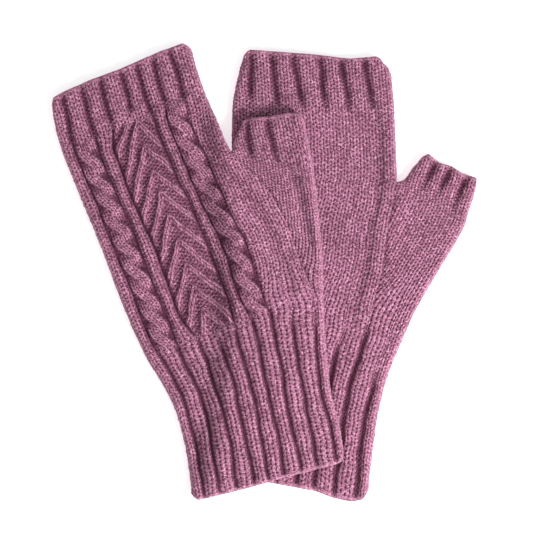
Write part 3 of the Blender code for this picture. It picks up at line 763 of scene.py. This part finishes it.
# Lower mitten, hand
# The palm in plain knitting, open on the right along the thumb's gusset. The cuff's ribs die away
# into it, and two raised wales run beside the gusset and on to the finger band.
RIGHT_HAND_COURSES = (
    (86.3, -10.7, -19.8, 54.0, -30.0, 1.0),
    (98.9, -10.7, -7.3, 57.4, -16.2, 1.0),
    (111.4, -11.2, 5.2, 61.3, -2.1, 1.0),
    (139.7, -13.3, 33.4, 65.5, 26.1, 1.0),
    (150.2, -14.9, 43.8, 68.1, 37.6, 1.0),
    (158.7, -15.9, 52.2, 69.4, 46.5, 1.0),
    (175.4, -16.5, 68.9, 69.2, 64.7, 1.0),
    (194.2, -15.9, 87.7, 68.3, 85.1, 1.0),
    (223.3, -9.9, 116.3, 66.2, 109.9, 1.0),
)
THUMB_NAMES = ("along", "near_x", "near_y", "edge_x", "edge_y", "under_x", "under_y")
RIGHT_THUMB_COURSES = (
    (86.3, 54.0, -30.0, 73.6, -32.9, 70.2, -32.4),
    (98.9, 57.4, -16.2, 79.3, -20.4, 69.2, -18.3),
    (111.4, 61.3, -2.1, 87.7, -5.7, 69.7, -3.1),
    (139.7, 65.5, 26.1, 100.2, 15.1, 72.3, 24.0),
    (150.2, 68.1, 37.6, 103.7, 21.4, 71.3, 36.5),
    (158.7, 69.4, 46.5, 105.9, 26.6, 69.4, 46.5),
    (164.0, 73.3, 48.0, 107.2, 31.8, 73.3, 48.0),
    (173.0, 78.6, 54.8, 110.0, 39.7, 78.6, 54.8),
    (182.0, 83.9, 62.1, 112.6, 48.2, 83.9, 62.1),
)
RIGHT_CROTCH = 158.7
RIGHT_BAND_START = 194.2
RIGHT_BAND_VALLEYS = (
    (0.10, 202.0, 191.0, -0.22), (0.257, 200.0, 190.0, -0.26), (0.412, 200.0, 189.0, -0.26),
    (0.56, 201.0, 188.0, -0.18), (0.70, 202.0, 184.0, -0.15), (0.856, 203.0, 184.0, -0.15)
)
RIGHT_PALM_COLUMNS = 192
RIGHT_PALM_FOLDS = (
    ((202.0, 0.68, 0.0, 3.0), (190.6, 0.737, 1.0, 4.0), (180.0, 0.80, 0.9, 5.0), (158.0, 0.86, 0.0, 5.0)),
    ((200.0, 0.86, 0.0, 3.0), (188.0, 0.885, 0.7, 4.0), (160.0, 0.91, 0.0, 5.0)),
    ((198.0, 0.40, 0.0, 4.0), (188.0, 0.38, 0.5, 5.0), (168.0, 0.36, 0.0, 6.0)),
    ((88.0, 0.30, 0.0, 5.0), (100.0, 0.35, 0.6, 5.0), (150.0, 0.52, 0.0, 9.0)),
)
BAND_REACH = 14.0
GUSSET_RISE = 0.9
GUSSET_DIP = 0.45
GUSSET_SHADE = 0.35
GUSSET_HALF = 1.2 * WALE
GUSSET_GROOVE = 2.7 * WALE


def gusset_ridge(from_line):
    """Two raised wales beside the gusset's line, with a soft groove on their other side that is painted in
    shade.
    """
    ridge = np.clip(1.0 - ((from_line - WALE) / GUSSET_HALF) ** 2, 0.0, 1.0)
    groove = np.clip(1.0 - ((from_line - GUSSET_GROOVE) / WALE) ** 2, 0.0, 1.0)
    return GUSSET_RISE * np.sqrt(ridge) - GUSSET_DIP * groove, GUSSET_SHADE * groove


def right_palm(share, along, width, panel):
    face = gusset_ridge((1.0 - share) * width)
    face = right_cuff_ribs.meet(face, share, along, width, RIGHT_CUFF_END, span=RIGHT_GUSSET_SHARE)
    face = right_band_ribs.meet(face, share, along, width, RIGHT_BAND_START, reach=BAND_REACH)
    return face[0] + troughs(share, along, width, RIGHT_PALM_FOLDS), face[1]


right_band_ribs = Ribbing(RIGHT_BAND_VALLEYS, broad=1.65, purl_half=1.7, even=True)
right_hand_ends = hand_ends(RIGHT_HAND_COURSES, RIGHT_THUMB_COURSES, RIGHT_CROTCH)
tube("right_hand", right_hand_ends, RIGHT_CUFF_END, RIGHT_BAND_START, False, RIGHT_PALM_COLUMNS,
     right_palm, right_cuff_ribs.run_on(RIGHT_CUFF_END, span=RIGHT_GUSSET_SHARE), crotch=RIGHT_CROTCH)

# Lower mitten, finger band
# Wide wool rib round the fingers, bound off loosely, so that its edge waves and flares.
RIGHT_TOP = 223.3
RIGHT_BAND_COLUMNS = 196
RIGHT_TOP_EDGE = (
    (0.0, -1.4), (0.04, 0.2), (0.5, 0.5), (0.72, -0.2), (0.9, 2.2), (0.93, 1.4), (0.96, -1.4), (1.0, -2.8)
)
tube("right_finger_band", right_hand_ends, RIGHT_BAND_START, RIGHT_TOP, False, RIGHT_BAND_COLUMNS,
     ribbed(right_band_ribs, RIGHT_PALM_FOLDS), right_band_ribs.travel(), top=RIGHT_TOP_EDGE)

# Lower mitten, thumb
# Plain knitting with the gusset. Its wales follow the outer edge, and new ones begin along the
# line where it joins the palm.
RIGHT_THUMB_BAND = 164.0
THUMB_COLUMNS = 92
THUMB_BAND_REACH = 18.0
THUMB_DIP = 0.63
THUMB_DIP_REACH = 0.9 * WALE
THUMB_DIP_SHADE = 0.5
RIGHT_THUMB_VALLEYS = ((0.24, 176.0, 156.0), (0.50, 176.0, 158.0), (0.78, 173.0, 154.0))
RIGHT_THUMB_FOLDS = (
    ((163.0, 0.30, 0.0, 4.0), (146.0, 0.30, 1.0, 6.0), (125.0, 0.25, 0.7, 6.0), (100.0, 0.2, 0.0, 6.0)),
    ((136.0, 0.80, 0.0, 4.0), (120.0, 0.72, 0.5, 4.0), (100.0, 0.62, 0.0, 4.0)),
)


def thumb_ends(table):
    """Near, under and far ends of a thumb's courses, from the gusset's line to the outer edge."""

    def ends(along):
        courses = courses_at(table, THUMB_NAMES, along)
        return pair(courses, "near"), pair(courses, "under"), pair(courses, "edge"), along * 0.0 + 1.0

    return ends


def thumb_form(cuff_ribs, cuff_end, gusset_share, band_ribs, band_start, folds):
    """Form of a thumb: a plain face that dips where it meets the raised wales of the gusset's line, with
    painted shade in the dip.
    """

    def form(share, along, width, panel):
        groove = 1.0 - smooth(share * width / THUMB_DIP_REACH)
        face = (-THUMB_DIP * groove, THUMB_DIP_SHADE * groove)
        face = cuff_ribs.meet(face, share, along, width, cuff_end, gusset_share, 1.0 - gusset_share)
        face = band_ribs.meet(face, share, along, width, band_start, reach=THUMB_BAND_REACH)
        return face[0] + troughs(share, along, width, folds), face[1]

    return form


right_thumb_ribs = Ribbing(RIGHT_THUMB_VALLEYS, broad=1.6, purl_half=1.4, even=True)
right_thumb_form = thumb_form(right_cuff_ribs, RIGHT_CUFF_END, RIGHT_GUSSET_SHARE, right_thumb_ribs,
                              RIGHT_THUMB_BAND, RIGHT_THUMB_FOLDS)
tube("right_thumb", thumb_ends(RIGHT_THUMB_COURSES), RIGHT_CUFF_END, RIGHT_THUMB_BAND, True,
     THUMB_COLUMNS, right_thumb_form,
     right_cuff_ribs.run_on(RIGHT_CUFF_END, RIGHT_GUSSET_SHARE, 1.0 - RIGHT_GUSSET_SHARE),
     crotch=RIGHT_CROTCH)

# Lower mitten, thumb band
# A short band of the same rib, knitted on to the thumb and bound off. It keeps the thumb's open
# edge from curling.
RIGHT_THUMB_TOP = 182.0
RIGHT_THUMB_EDGE = (
    (0.0, -1.0), (0.08, 0.8), (0.3, -1.0), (0.5, 0.2), (0.7, -0.8), (0.95, 0.4), (1.0, -1.6)
)
tube("right_thumb_band", thumb_ends(RIGHT_THUMB_COURSES), RIGHT_THUMB_BAND, RIGHT_THUMB_TOP, True,
     THUMB_COLUMNS, ribbed(right_thumb_ribs), right_thumb_ribs.travel(), top=RIGHT_THUMB_EDGE)

# Upper mitten, cuff
# The same rib with the back of the hand up. It lies on the lower mitten and drops to the table
# beyond that one's edge.
LEFT_CUFF_COURSES = (
    (0.0, -36.8, -119.3, 42.8, -98.7, 1.0),
    (14.3, -38.4, -107.3, 39.9, -82.5, 1.0),
    (33.6, -41.5, -88.2, 35.2, -63.7, 1.0),
    (52.8, -47.2, -69.4, 32.9, -44.9, 1.0),
    (67.4, -53.5, -57.4, 31.6, -28.7, 1.0),
    (81.0, -60.3, -46.5, 31.0, -13.6, 1.0),
)
LEFT_CUFF_END = 81.0
LEFT_CUFF_COLUMNS = 215
LEFT_CUFF_VALLEYS = (
    (0.066, 81.0, 95.0), (0.172, 81.0, 95.0), (0.286, 78.0, 88.0), (0.394, 72.0, 82.0),
    (0.496, 78.0, 90.0), (0.597, 81.0, 95.0), (0.702, 81.0, 95.0), (0.816, 70.0, 88.0), (0.938, 62.0, 86.0)
)
LEFT_HEM = (
    (0.0, 1.4), (0.03, -0.5), (0.08, -0.9), (0.35, -0.6), (0.6, 0.0), (0.94, 0.0), (0.98, 0.8), (1.0, 3.0)
)
LIFT = 6.8
LIFT_START = -17.0
LIFT_END = -1.5


def lower_outline():
    """Plan outline of the lower mitten's cuff, hand and band."""
    cuff = courses_at(RIGHT_CUFF_COURSES, COURSE_NAMES, np.linspace(0.0, RIGHT_CUFF_END, 16)[:-1])
    hand = courses_at(RIGHT_HAND_COURSES, COURSE_NAMES, np.linspace(RIGHT_CUFF_END, RIGHT_TOP, 25))
    left = np.concatenate((pair(cuff, "left"), pair(hand, "left")))
    right = np.concatenate((pair(cuff, "right"), pair(hand, "right")))
    return np.concatenate((left, right[::-1]))


def lift_at(plan):
    """Height that the lower mitten gives to plan points of the upper one."""
    points = plan.reshape(-1, 2)
    near = np.full(len(points), np.inf)
    crossings = np.zeros(len(points), int)
    for a, b in zip(outline, np.roll(outline, -1, axis=0)):
        side = b - a
        rel = points - a
        f = np.clip((rel @ side) / (side @ side), 0.0, 1.0)
        near = np.minimum(near, np.linalg.norm(rel - f[:, None] * side, axis=1))
        spans = (a[1] > points[:, 1]) != (b[1] > points[:, 1])
        slant = side[0] / side[1] if side[1] else 0.0
        crossings += spans & (rel[:, 0] < slant * rel[:, 1])
    depth = np.where(crossings % 2 == 1, near, -near)
    height = LIFT * smooth((depth - LIFT_START) / (LIFT_END - LIFT_START))
    return height.reshape(plan.shape[:-1])


outline = lower_outline()
left_cuff_ribs = Ribbing(LEFT_CUFF_VALLEYS, broad=1.1, purl_half=0.7, knit_wales=1.5, tilt=0.4)
tube("left_cuff", hand_ends(LEFT_CUFF_COURSES), 0.0, LEFT_CUFF_END, False, LEFT_CUFF_COLUMNS,
     ribbed(left_cuff_ribs), left_cuff_ribs.travel(), hem=LEFT_HEM, lift=lift_at)

# Upper mitten, hand
# The back of the hand: two rope cables, a strip of nested chevrons on a purl ground, knit ribs
# between them, and plain knitting beside them down to the gusset's line.
LEFT_HAND_COURSES = (
    (81.0, -60.3, -46.5, 27.4, -15.0, 0.73),
    (99.3, -67.6, -31.3, 20.1, 3.1, 0.74),
    (123.1, -76.5, -9.4, 11.7, 25.6, 0.75),
    (146.2, -84.5, 12.0, -0.3, 45.9, 0.76),
    (157.3, -88.5, 21.9, -8.6, 54.3, 0.795),
    (168.0, -92.7, 31.8, -16.4, 62.1, 0.834),
    (186.0, -99.2, 48.0, -24.3, 79.1, 0.835),
    (205.3, -106.4, 66.8, -31.5, 96.0, 0.835),
    (229.3, -111.7, 89.8, -38.9, 119.5, 0.835),
)
LEFT_THUMB_COURSES = (
    (81.0, 27.4, -15.0, 31.0, -13.6, 12.3, -20.4),
    (99.3, 20.1, 3.1, 30.8, 2.1, 10.2, -0.5),
    (123.1, 11.7, 25.6, 29.5, 20.9, 2.9, 21.9),
    (146.2, -0.3, 45.9, 27.7, 39.1, -7.0, 43.3),
    (157.3, -8.6, 54.3, 26.9, 46.5, -11.7, 53.0),
    (168.0, -16.4, 62.1, 25.8, 54.3, -16.4, 62.1),
    (173.0, -15.8, 64.7, 24.5, 61.6, -15.8, 64.7),
    (183.0, -13.8, 72.0, 22.4, 72.6, -13.8, 72.0),
    (192.0, -11.7, 78.8, 20.4, 83.5, -11.7, 78.8),
)
LEFT_CROTCH = 168.0
LEFT_BAND_START = 205.3
LEFT_GUSSET_SHARE = 0.953
LEFT_HAND_COLUMNS = 244
STRIPS = (
    ("rib", 0.092), ("cable", 0.263), ("rib", 0.365), ("chevron", 0.744), ("rib", 0.838), ("cable", 1.0)
)
LINES_AT_CUFF = (0.066, 0.172, 0.286, 0.496, 0.597, 0.702)
LINES_AT_BAND = (0.085, 0.225, 0.362, 0.622, 0.735, 0.86)
LINE_ORDERS = (0, 1, 2, 4, 5, 6)
LINE_REACH = 16.0
PATTERN_REACH = 6.0
PLAIN_FIRST_WALE = 8.5
BAND_FIRST_WALE = 2.5
PATTERN_PITCH = 13.1
LEFT_ROPE = (76.0, 89.0, 102.0, 115.0, 127.6, 141.3, 154.3, 167.3, 179.8, 192.5, 205.5)
RIGHT_ROPE = (75.0, 88.0, 101.0, 115.3, 129.8, 141.0, 155.5, 168.0, 178.8, 192.0, 205.0)
ROPE_RISE = 1.5
ROPE_DIP = 1.0
ROPE_PITCH = 13.2
# A strand is painted in shade below this share of its height.
ROPE_SHADE_HEIGHT = 0.75
STRAND_SWING = 2.6
STRAND_HALF = 3.15
STRAND_WALE = 2.75
STRAND_BLUNT = 0.42
STRAND_REACH = 0.9
STRAND_DIVE = 0.75
DIVE_START = 0.3
DIVE_LENGTH = 0.55
STRAND_FIRST_WALE = 40.0
STRAND_WALES = 4.0
STRAND_FIRST_COURSE = 20.0
STRAND_COURSES = 1.15
PANEL_SHOULDER = 1.9
STRIP_SHOULDER = 3.0
STRIP_RISE = 0.9
CHEVRON_START = 94.8
CHEVRON_RISE = 0.95
CHEVRON_DIP = 0.75
CHEVRON_DROP = 43.0
CHEVRON_SHARE = 0.5
CHEVRON_BEND = 0.035
CHEVRON_EDGE = 0.07
CHEVRON_UNEVEN = 0.07
# How much painted shade the purl ground between the chevrons' arms takes.
CHEVRON_SHADE = 0.62
CHEVRON_SIDE_DIP = 0.5
PANEL_WIDTH = 30.0
ARM_UNEVEN_SIZE = 5.0
POINT_DIP = 0.35
POINT_HALF = 0.05
ARM_FIRST_COURSE = 50.0
RIDGE_HALF = 0.27
RIDGE_WALE = 3.3
RIDGE_LEAN = 0.53
APEX_LOW = 0.47
APEX_DRIFT = 0.16
DRIFT_START = 115.0
DRIFT_LENGTH = 75.0
LEFT_BAND_VALLEYS = (
    (0.085, 205.0, 198.0), (0.225, 205.0, 198.0), (0.362, 209.0, 200.0), (0.505, 211.0, 204.0),
    (0.622, 205.0, 198.0), (0.735, 208.0, 198.0), (0.86, 206.0, 196.0)
)
CABLE_HOLES = ((84.5, 0.078), (86.5, 0.655))
HOLE_LENGTH = 2.2
HOLE_WIDTH = 1.5
HOLE_DEPTH = 1.2
LEFT_HAND_FOLDS = (
    ((204.0, 0.93, 0.0, 3.0), (186.0, 0.92, 0.5, 3.5), (150.0, 0.86, 0.3, 4.0), (110.0, 0.82, 0.0, 4.0)),
    ((150.0, 0.90, 0.0, 4.0), (120.0, 0.87, 0.35, 4.0), (95.0, 0.84, 0.0, 4.0)),
)


def strip_lines(along, width, panel):
    """Shares of the width where the strips meet, from the left. The lines run on into both ribs."""
    to_cuff = 1.0 - smooth((along - LEFT_CUFF_END) / LINE_REACH)
    to_band = 1.0 - smooth((LEFT_BAND_START - along) / LINE_REACH)
    lines = [along * 0.0]
    for strip, cuff, band, order in zip(STRIPS, LINES_AT_CUFF, LINES_AT_BAND, LINE_ORDERS):
        share = strip[1] * panel
        share = share + (cuff / LEFT_GUSSET_SHARE - share) * to_cuff + (band - share) * to_band
        lines.append(share + wander(order, along) / width)
    return lines


def rope(side, along, centres):
    """Height of a rope cable, and the wales and courses that run down its strands. Each strand
    swings in an S from upper left to lower right, over its neighbours, and dives under them."""
    height = np.zeros(np.broadcast(side, along).shape)
    wale, course = side / WALE + 0.0 * along, along / COURSE + 0.0 * side
    for number, centre in enumerate(centres):
        up = along - centre
        bend = np.clip(up / (0.5 * ROPE_PITCH), -1.0, 1.0)
        swing = -STRAND_SWING * np.sin(0.5 * np.pi * bend)
        slope = STRAND_SWING * math.pi / ROPE_PITCH * np.cos(0.5 * np.pi * bend)
        off = (side - swing) / np.sqrt(1.0 + slope**2)
        dive = smooth((np.abs(up) / ROPE_PITCH - DIVE_START) / DIVE_LENGTH)
        body = np.clip(1.0 - (off / STRAND_HALF) ** 2, 0.0, 1.0) ** STRAND_BLUNT
        strand = body * (1.0 - STRAND_DIVE * dive) * (np.abs(up) < STRAND_REACH * ROPE_PITCH)
        over = strand > height
        strand_wale = STRAND_FIRST_WALE + STRAND_WALES * number + off / STRAND_WALE
        wale = np.where(over, strand_wale, wale)
        course = np.where(over, STRAND_FIRST_COURSE + STRAND_COURSES * up / COURSE, course)
        height = np.maximum(height, strand)
    return height, wale, course


def chevron(across, along):
    """Height of the nested arms from 0 to 1, the distance from the nearest one's crest, and from
    the line of their points."""
    apex = APEX_LOW + APEX_DRIFT * smooth((along - DRIFT_START) / DRIFT_LENGTH)
    away = np.sqrt((across - apex) ** 2 + CHEVRON_BEND**2) - CHEVRON_BEND
    uneven = CHEVRON_UNEVEN * wobble(PANEL_WIDTH * across, along, ARM_UNEVEN_SIZE)
    phase = (along - CHEVRON_START + CHEVRON_DROP * away) / PATTERN_PITCH + uneven
    arm = smooth(CHEVRON_SHARE * (1.0 + np.cos(2 * np.pi * phase)))
    edge = smooth(np.minimum(across, 1.0 - across) / CHEVRON_EDGE)
    point = 1.0 - POINT_DIP * np.exp(-((away / POINT_HALF) ** 2))
    return arm * edge * point, phase - np.round(phase), away


def strips_at(share, along, width, panel):
    """For each strip: its kind, the place across it, its width, and where it lies."""
    lines = strip_lines(along, width, panel)
    for start, end, strip in zip(lines, lines[1:], STRIPS):
        across = (share - start) / (end - start)
        yield strip[0], across, (end - start) * width, (across >= 0.0) & (across < 1.0)


def cabled_back(share, along, width, panel):
    """Form of the back, painted in shade in its grooves. Towards both ends it takes the form of the ribs
    that it meets.
    """
    from_panel = (share - strip_lines(along, width, panel)[-1]) * width
    beside = 1.0 - rib_height(from_panel, PANEL_SHOULDER)
    height, groove = gusset_ridge((1.0 - share) * width)
    height = height - RIB_DIP * beside
    groove = np.maximum(groove, beside)
    ropes = [RIGHT_ROPE, LEFT_ROPE]
    for kind, across, strip, here in strips_at(share, along, width, panel):
        crest = rib_height((0.5 - np.abs(across - 0.5)) * strip, STRIP_SHOULDER)
        relief = (STRIP_RISE + RIB_DIP) * crest - RIB_DIP
        if kind == "cable":
            crest = rope((across - 0.5) * strip, along, ropes.pop())[0]
            relief = (ROPE_RISE + ROPE_DIP) * crest - ROPE_DIP
            crest = smooth(crest / ROPE_SHADE_HEIGHT)
        if kind == "chevron":
            crest = chevron(across, along)[0]
            side = rib_height((0.5 - np.abs(across - 0.5)) * strip, PANEL_SHOULDER)
            relief = (CHEVRON_RISE + CHEVRON_DIP) * crest - CHEVRON_DIP
            relief = relief - CHEVRON_SIDE_DIP * (1.0 - side)
            crest = side * (1.0 - CHEVRON_SHADE + CHEVRON_SHADE * crest)
        height = np.where(here, relief, height)
        groove = np.where(here, 1.0 - crest, groove)
    # Pits beside the cables, painted in shade.
    for place, hole in CABLE_HOLES:
        aside = (share - hole) * width / HOLE_WIDTH
        pit = np.exp(-((along - place) / HOLE_LENGTH) ** 2 - aside**2)
        height = height - HOLE_DEPTH * pit
        groove = np.maximum(groove, pit)
    face = (height + troughs(share, along, width, LEFT_HAND_FOLDS), groove)
    face = left_cuff_ribs.meet(face, share, along, width, LEFT_CUFF_END, span=LEFT_GUSSET_SHARE)
    return left_band_ribs.meet(face, share, along, width, LEFT_BAND_START, reach=PATTERN_REACH)


def travelling(share, along, width, panel, course):
    """Stitches that follow the cables' strands, the chevrons' arms and the panel's right side.
    Near the cuff and the band they are those of the ribs."""
    from_panel = (share - strip_lines(along, width, panel)[-1]) * width
    wale = PLAIN_FIRST_WALE - from_panel / WALE
    pattern_course = course + 0.0 * share
    knitted = share > -1.0
    ropes = [RIGHT_ROPE, LEFT_ROPE]
    for number, (kind, across, strip, here) in enumerate(strips_at(share, along, width, panel)):
        if kind == "rib":
            wale = np.where(here, 2.0 * across, wale)
        if kind == "cable":
            height, strand_wale, strand_course = rope((across - 0.5) * strip, along, ropes.pop())
            wale = np.where(here, strand_wale, wale)
            pattern_course = np.where(here, strand_course, pattern_course)
            knitted = knitted & ~(here & (height <= 0.0))
        if kind == "chevron":
            off, away = chevron(across, along)[1:]
            ridge = here & (np.abs(off) < RIDGE_HALF)
            lean = off * PATTERN_PITCH * RIDGE_LEAN / RIDGE_WALE
            wale = np.where(here, across * strip / WALE, wale)
            wale = np.where(ridge, 0.5 + lean, wale)
            arm_course = ARM_FIRST_COURSE - away * strip / RIDGE_LEAN / COURSE
            pattern_course = np.where(ridge, arm_course, pattern_course)
            knitted = np.where(here, ridge, knitted)
    meetings = (
        (left_cuff_ribs, LEFT_CUFF_END, LEFT_GUSSET_SHARE, 0.0),
        (left_band_ribs, LEFT_BAND_START, 1.0, PLAIN_FIRST_WALE - BAND_FIRST_WALE),
    )
    for ribs, seam, span, more in meetings:
        rib_wale, rib_knitted = ribs.stitching(span * share, along, width / span)
        near = 1.0 - smooth(np.abs(along - seam) / PATTERN_REACH)
        beside = 1.0 - smooth(np.abs(along - seam) / RUN_REACH)
        blend = np.where(from_panel >= 0.0, beside, near > 0.5)
        wale = wale + (rib_wale + more - wale) * blend
        pattern_course = np.where(near > 0.5, course, pattern_course)
        knitted = np.where(near > 0.5, rib_knitted, knitted)
    return wale, pattern_course, knitted


left_band_ribs = Ribbing(LEFT_BAND_VALLEYS, broad=1.5, purl_half=1.6, even=True)
left_hand_ends = hand_ends(LEFT_HAND_COURSES, LEFT_THUMB_COURSES, LEFT_CROTCH)
tube("left_hand", left_hand_ends, LEFT_CUFF_END, LEFT_BAND_START, False, LEFT_HAND_COLUMNS,
     cabled_back, travelling, crotch=LEFT_CROTCH, lift=lift_at)

# Upper mitten, finger band
# Wool rib that takes over from the cables and chevrons, knitted on in the round and bound off at
# a slightly waved edge.
LEFT_TOP = 229.3
LEFT_BAND_COLUMNS = 200
LEFT_TOP_EDGE = (
    (0.0, -1.4), (0.03, 0.6), (0.1, 1.4), (0.3, 1.8), (0.5, 1.3), (0.8, 1.9), (0.96, 1.3), (1.0, -1.4)
)
tube("left_finger_band", left_hand_ends, LEFT_BAND_START, LEFT_TOP, False, LEFT_BAND_COLUMNS,
     ribbed(left_band_ribs), left_band_ribs.travel(), top=LEFT_TOP_EDGE, lift=lift_at)

# Upper mitten, thumb
# Plain wool knitting that widens from the gusset's foot at the cuff to the thumb. It lies folded
# beside the hand, so only part of its round shows.
LEFT_THUMB_BAND = 173.0
LEFT_THUMB_VALLEYS = ((0.18, 177.0, 152.0, -0.18), (0.53, 174.0, 148.0, -0.2))
LEFT_THUMB_FOLDS = (
    ((185.0, 0.62, 0.0, 3.2), (172.0, 0.63, 1.4, 3.4), (158.0, 0.66, 2.0, 3.6), (130.0, 0.58, 1.8, 3.4),
     (100.0, 0.50, 0.0, 3.0)),
    ((190.0, 0.88, -0.8, 3.4), (160.0, 0.88, -1.7, 3.6), (120.0, 0.84, -1.5, 3.2), (92.0, 0.80, 0.0, 3.0)),
    ((176.0, 0.20, 0.0, 3.0), (166.0, 0.24, 0.8, 3.0), (150.0, 0.33, 0.5, 3.5), (135.0, 0.40, 0.0, 4.0)),
)
left_thumb_ribs = Ribbing(LEFT_THUMB_VALLEYS, broad=1.6, purl_half=1.5, even=True)
left_thumb_form = thumb_form(left_cuff_ribs, LEFT_CUFF_END, LEFT_GUSSET_SHARE, left_thumb_ribs,
                             LEFT_THUMB_BAND, LEFT_THUMB_FOLDS)
tube("left_thumb", thumb_ends(LEFT_THUMB_COURSES), LEFT_CUFF_END, LEFT_THUMB_BAND, True,
     THUMB_COLUMNS, left_thumb_form,
     left_cuff_ribs.run_on(LEFT_CUFF_END, LEFT_GUSSET_SHARE, 1.0 - LEFT_GUSSET_SHARE),
     crotch=LEFT_CROTCH, lift=lift_at)

# Upper mitten, thumb band
# A short band of rib knitted on to the thumb and bound off, lying on the lower mitten's palm.
LEFT_THUMB_TOP = 192.0
LEFT_THUMB_EDGE = (
    (0.0, -0.8), (0.06, 0.2), (0.2, 0.6), (0.5, 0.0), (0.75, 0.5), (0.94, -0.4), (1.0, -3.2)
)
tube("left_thumb_band", thumb_ends(LEFT_THUMB_COURSES), LEFT_THUMB_BAND, LEFT_THUMB_TOP, True,
     THUMB_COLUMNS, ribbed(left_thumb_ribs, LEFT_THUMB_FOLDS), left_thumb_ribs.travel(),
     top=LEFT_THUMB_EDGE, lift=lift_at)

# Table
# A matt white board that glows a little though it is no lamp, painted light that fills in the
# shadows round the mittens, so that only a faint shade shows there.
TABLE_SIZE = 3.0
TABLE_DROP = 0.0002
TABLE_ROUGHNESS = 0.9
TABLE_WHITE = (0.93, 0.93, 0.935, 1.0)
TABLE_GLOW = 0.6
bpy.ops.mesh.primitive_plane_add(size=TABLE_SIZE, location=(0.0, 0.0, -TABLE_DROP))
table = bpy.context.object
table.name = "table"
board = bpy.data.materials.new("white_board")
board.use_nodes = True
board_shader = board.node_tree.nodes["Principled BSDF"]
board_shader.inputs["Base Color"].default_value = TABLE_WHITE
board_shader.inputs["Roughness"].default_value = TABLE_ROUGHNESS
# The glow is painted light, on the board and from below on the mittens.
board_shader.inputs["Emission Color"].default_value = TABLE_WHITE
board_shader.inputs["Emission Strength"].default_value = TABLE_GLOW
table.data.materials.append(board)

# Light
# A large soft lamp low on the right of the picture, and white light from all round.
KEY_PLACE = (0.75, -0.55, 0.75)
KEY_SIZE = 0.5
KEY_WATTS = 20.0
SKY_STRENGTH = 0.5
lamp_data = bpy.data.lights.new("soft_lamp", "AREA")
lamp_data.size = KEY_SIZE
lamp_data.energy = KEY_WATTS
lamp = bpy.data.objects.new("soft_lamp", lamp_data)
bpy.context.scene.collection.objects.link(lamp)
lamp.location = KEY_PLACE
aim = bpy.data.objects.new("lamp_aim", None)
bpy.context.scene.collection.objects.link(aim)
follow = lamp.constraints.new("TRACK_TO")
follow.target = aim
follow.track_axis = "TRACK_NEGATIVE_Z"
follow.up_axis = "UP_Y"
sky = bpy.data.worlds.new("studio")
sky.use_nodes = True
sky.node_tree.nodes["Background"].inputs["Color"].default_value = (1.0, 1.0, 1.0, 1.0)
sky.node_tree.nodes["Background"].inputs["Strength"].default_value = SKY_STRENGTH
bpy.context.scene.world = sky

# Camera
# Straight above the pair, with a long lens, framed as in the photograph.
PICTURE_PIXELS = 533
MM_PER_PIXEL = 0.522
SENSOR_WIDTH = 36.0
CAMERA_HEIGHT = 1.4
VIEW_X = 1.2
VIEW_Y = 3.1
FACE_HEIGHT = 6.0
camera_data = bpy.data.cameras.new("camera")
camera_data.sensor_width = SENSOR_WIDTH
distance = CAMERA_HEIGHT - FACE_HEIGHT * MM
camera_data.lens = SENSOR_WIDTH * distance / (PICTURE_PIXELS * MM_PER_PIXEL * MM)
camera = bpy.data.objects.new("camera", camera_data)
camera.location = (VIEW_X * MM, VIEW_Y * MM, CAMERA_HEIGHT)
bpy.context.scene.collection.objects.link(camera)
bpy.context.scene.camera = camera
bpy.context.scene.view_settings.view_transform = "Standard"
